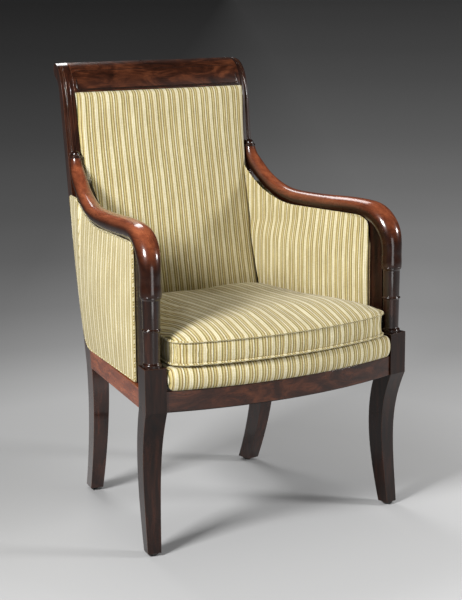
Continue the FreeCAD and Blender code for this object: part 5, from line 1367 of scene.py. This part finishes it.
class ChairStageSettings(bpy.types.PropertyGroup):
    """Lamps of the stage."""
    left_place: bpy.props.FloatVectorProperty(
        name="Left lamp's place", description="Centre of the left lamp",
        default=(-2.2, -0.8, 1.75), subtype="TRANSLATION", unit="LENGTH")
    left_power: bpy.props.FloatProperty(
        name="Left lamp", description="Power of the left lamp", default=107.0, min=0.0, unit="POWER")
    right_place: bpy.props.FloatVectorProperty(
        name="Right lamp's place", description="Centre of the right lamp",
        default=(2.3, -1.9, 1.5), subtype="TRANSLATION", unit="LENGTH")
    right_power: bpy.props.FloatProperty(
        name="Right lamp", description="Power of the right lamp", default=58.0, min=0.0, unit="POWER")
    back_place: bpy.props.FloatVectorProperty(
        name="Back lamp's place", description="Centre of the lamp behind",
        default=(0.2, 1.9, 2.5), subtype="TRANSLATION", unit="LENGTH")
    back_power: bpy.props.FloatProperty(
        name="Back lamp", description="Power of the lamp behind", default=31.0, min=0.0, unit="POWER")
    front_place: bpy.props.FloatVectorProperty(
        name="Front lamp's place", description="Centre of the low front lamp",
        default=(-0.6, -2.3, 0.35), subtype="TRANSLATION", unit="LENGTH")
    front_power: bpy.props.FloatProperty(
        name="Front lamp", description="Power of the low front lamp", default=9.0, min=0.0, unit="POWER")
    fill: bpy.props.FloatProperty(
        name="Fill", description="Level of the even light all round", default=0.24, min=0.0)


# Operators

class CHAIR_OT_frame_finish(bpy.types.Operator):
    """Polish the mahogany frame and finish the inner pieces"""
    bl_idname = "chair.frame_finish"
    bl_label = "Frame finish"

    def execute(self, context):
        finish_frame()
        return {"FINISHED"}


class CHAIR_OT_cushion(bpy.types.Operator):
    """Build the loose seat cushion and its welts"""
    bl_idname = "chair.cushion"
    bl_label = "Seat cushion"

    def execute(self, context):
        build_cushion(context.scene.chair_cushion)
        return {"FINISHED"}


class CHAIR_OT_deck(bpy.types.Operator):
    """Build the tight seat with its front roll"""
    bl_idname = "chair.deck"
    bl_label = "Seat deck"

    def execute(self, context):
        build_deck()
        return {"FINISHED"}


class CHAIR_OT_inside_back(bpy.types.Operator):
    """Build the padded inside back"""
    bl_idname = "chair.inside_back"
    bl_label = "Inside back"

    def execute(self, context):
        build_inside_back()
        return {"FINISHED"}


class CHAIR_OT_inside_arms(bpy.types.Operator):
    """Build the padded inside arms"""
    bl_idname = "chair.inside_arms"
    bl_label = "Inside arms"

    def execute(self, context):
        build_inside_arms()
        return {"FINISHED"}


class CHAIR_OT_outside_arms(bpy.types.Operator):
    """Build the outside arm covers"""
    bl_idname = "chair.outside_arms"
    bl_label = "Outside arms"

    def execute(self, context):
        build_outside_arms()
        return {"FINISHED"}


class CHAIR_OT_outside_back(bpy.types.Operator):
    """Build the outside back cover"""
    bl_idname = "chair.outside_back"
    bl_label = "Outside back"

    def execute(self, context):
        build_outside_back()
        return {"FINISHED"}


class CHAIR_OT_dust_cover(bpy.types.Operator):
    """Build the cloth under the seat"""
    bl_idname = "chair.dust_cover"
    bl_label = "Dust cover"

    def execute(self, context):
        build_dust_cover()
        return {"FINISHED"}


class CHAIR_OT_mouldings(bpy.types.Operator):
    """Run the fine beads of the stiles and crest, and the posts' rings"""
    bl_idname = "chair.mouldings"
    bl_label = "Mouldings"

    def execute(self, context):
        build_stile_beads()
        build_crest_bead()
        build_post_rings()
        return {"FINISHED"}


class CHAIR_OT_stage(bpy.types.Operator):
    """Set the floor, lamps and camera"""
    bl_idname = "chair.stage"
    bl_label = "Stage"

    def execute(self, context):
        build_stage(context.scene.chair_stage)
        return {"FINISHED"}


class CHAIR_PT_pieces(bpy.types.Panel):
    """The chair's pieces"""
    bl_idname = "CHAIR_PT_pieces"
    bl_label = "Bergere chair"
    bl_space_type = "VIEW_3D"
    bl_region_type = "UI"
    bl_category = "Chair"

    def draw(self, context):
        for group in GROUPS:
            values = getattr(context.scene, group)
            for name in values.__annotations__:
                self.layout.prop(values, name)
        for step in STEPS:
            self.layout.operator(step.bl_idname)


STEPS = [CHAIR_OT_frame_finish, CHAIR_OT_cushion, CHAIR_OT_deck, CHAIR_OT_inside_back, CHAIR_OT_inside_arms,
         CHAIR_OT_outside_arms, CHAIR_OT_outside_back, CHAIR_OT_dust_cover, CHAIR_OT_mouldings,
         CHAIR_OT_stage]
GROUPS = {"chair_cloth": ChairClothSettings, "chair_cushion": ChairCushionSettings,
          "chair_stage": ChairStageSettings}


def register():
    """Registers the settings, operators and panel."""
    for kind in [*GROUPS.values(), *STEPS, CHAIR_PT_pieces]:
        bpy.utils.register_class(kind)
    for name, kind in GROUPS.items():
        setattr(bpy.types.Scene, name, bpy.props.PointerProperty(type=kind))


def unregister():
    """Takes away what register added."""
    for name in GROUPS:
        delattr(bpy.types.Scene, name)
    for kind in reversed([*GROUPS.values(), *STEPS, CHAIR_PT_pieces]):
        bpy.utils.unregister_class(kind)


def main():
    """Builds the chair and its stage."""
    register()
    bpy.ops.chair.frame_finish()
    bpy.ops.chair.cushion()
    bpy.ops.chair.deck()
    bpy.ops.chair.inside_back()
    bpy.ops.chair.inside_arms()
    bpy.ops.chair.outside_arms()
    bpy.ops.chair.outside_back()
    bpy.ops.chair.dust_cover()
    bpy.ops.chair.mouldings()
    bpy.ops.chair.stage()


if __name__ == "__main__":
    main()
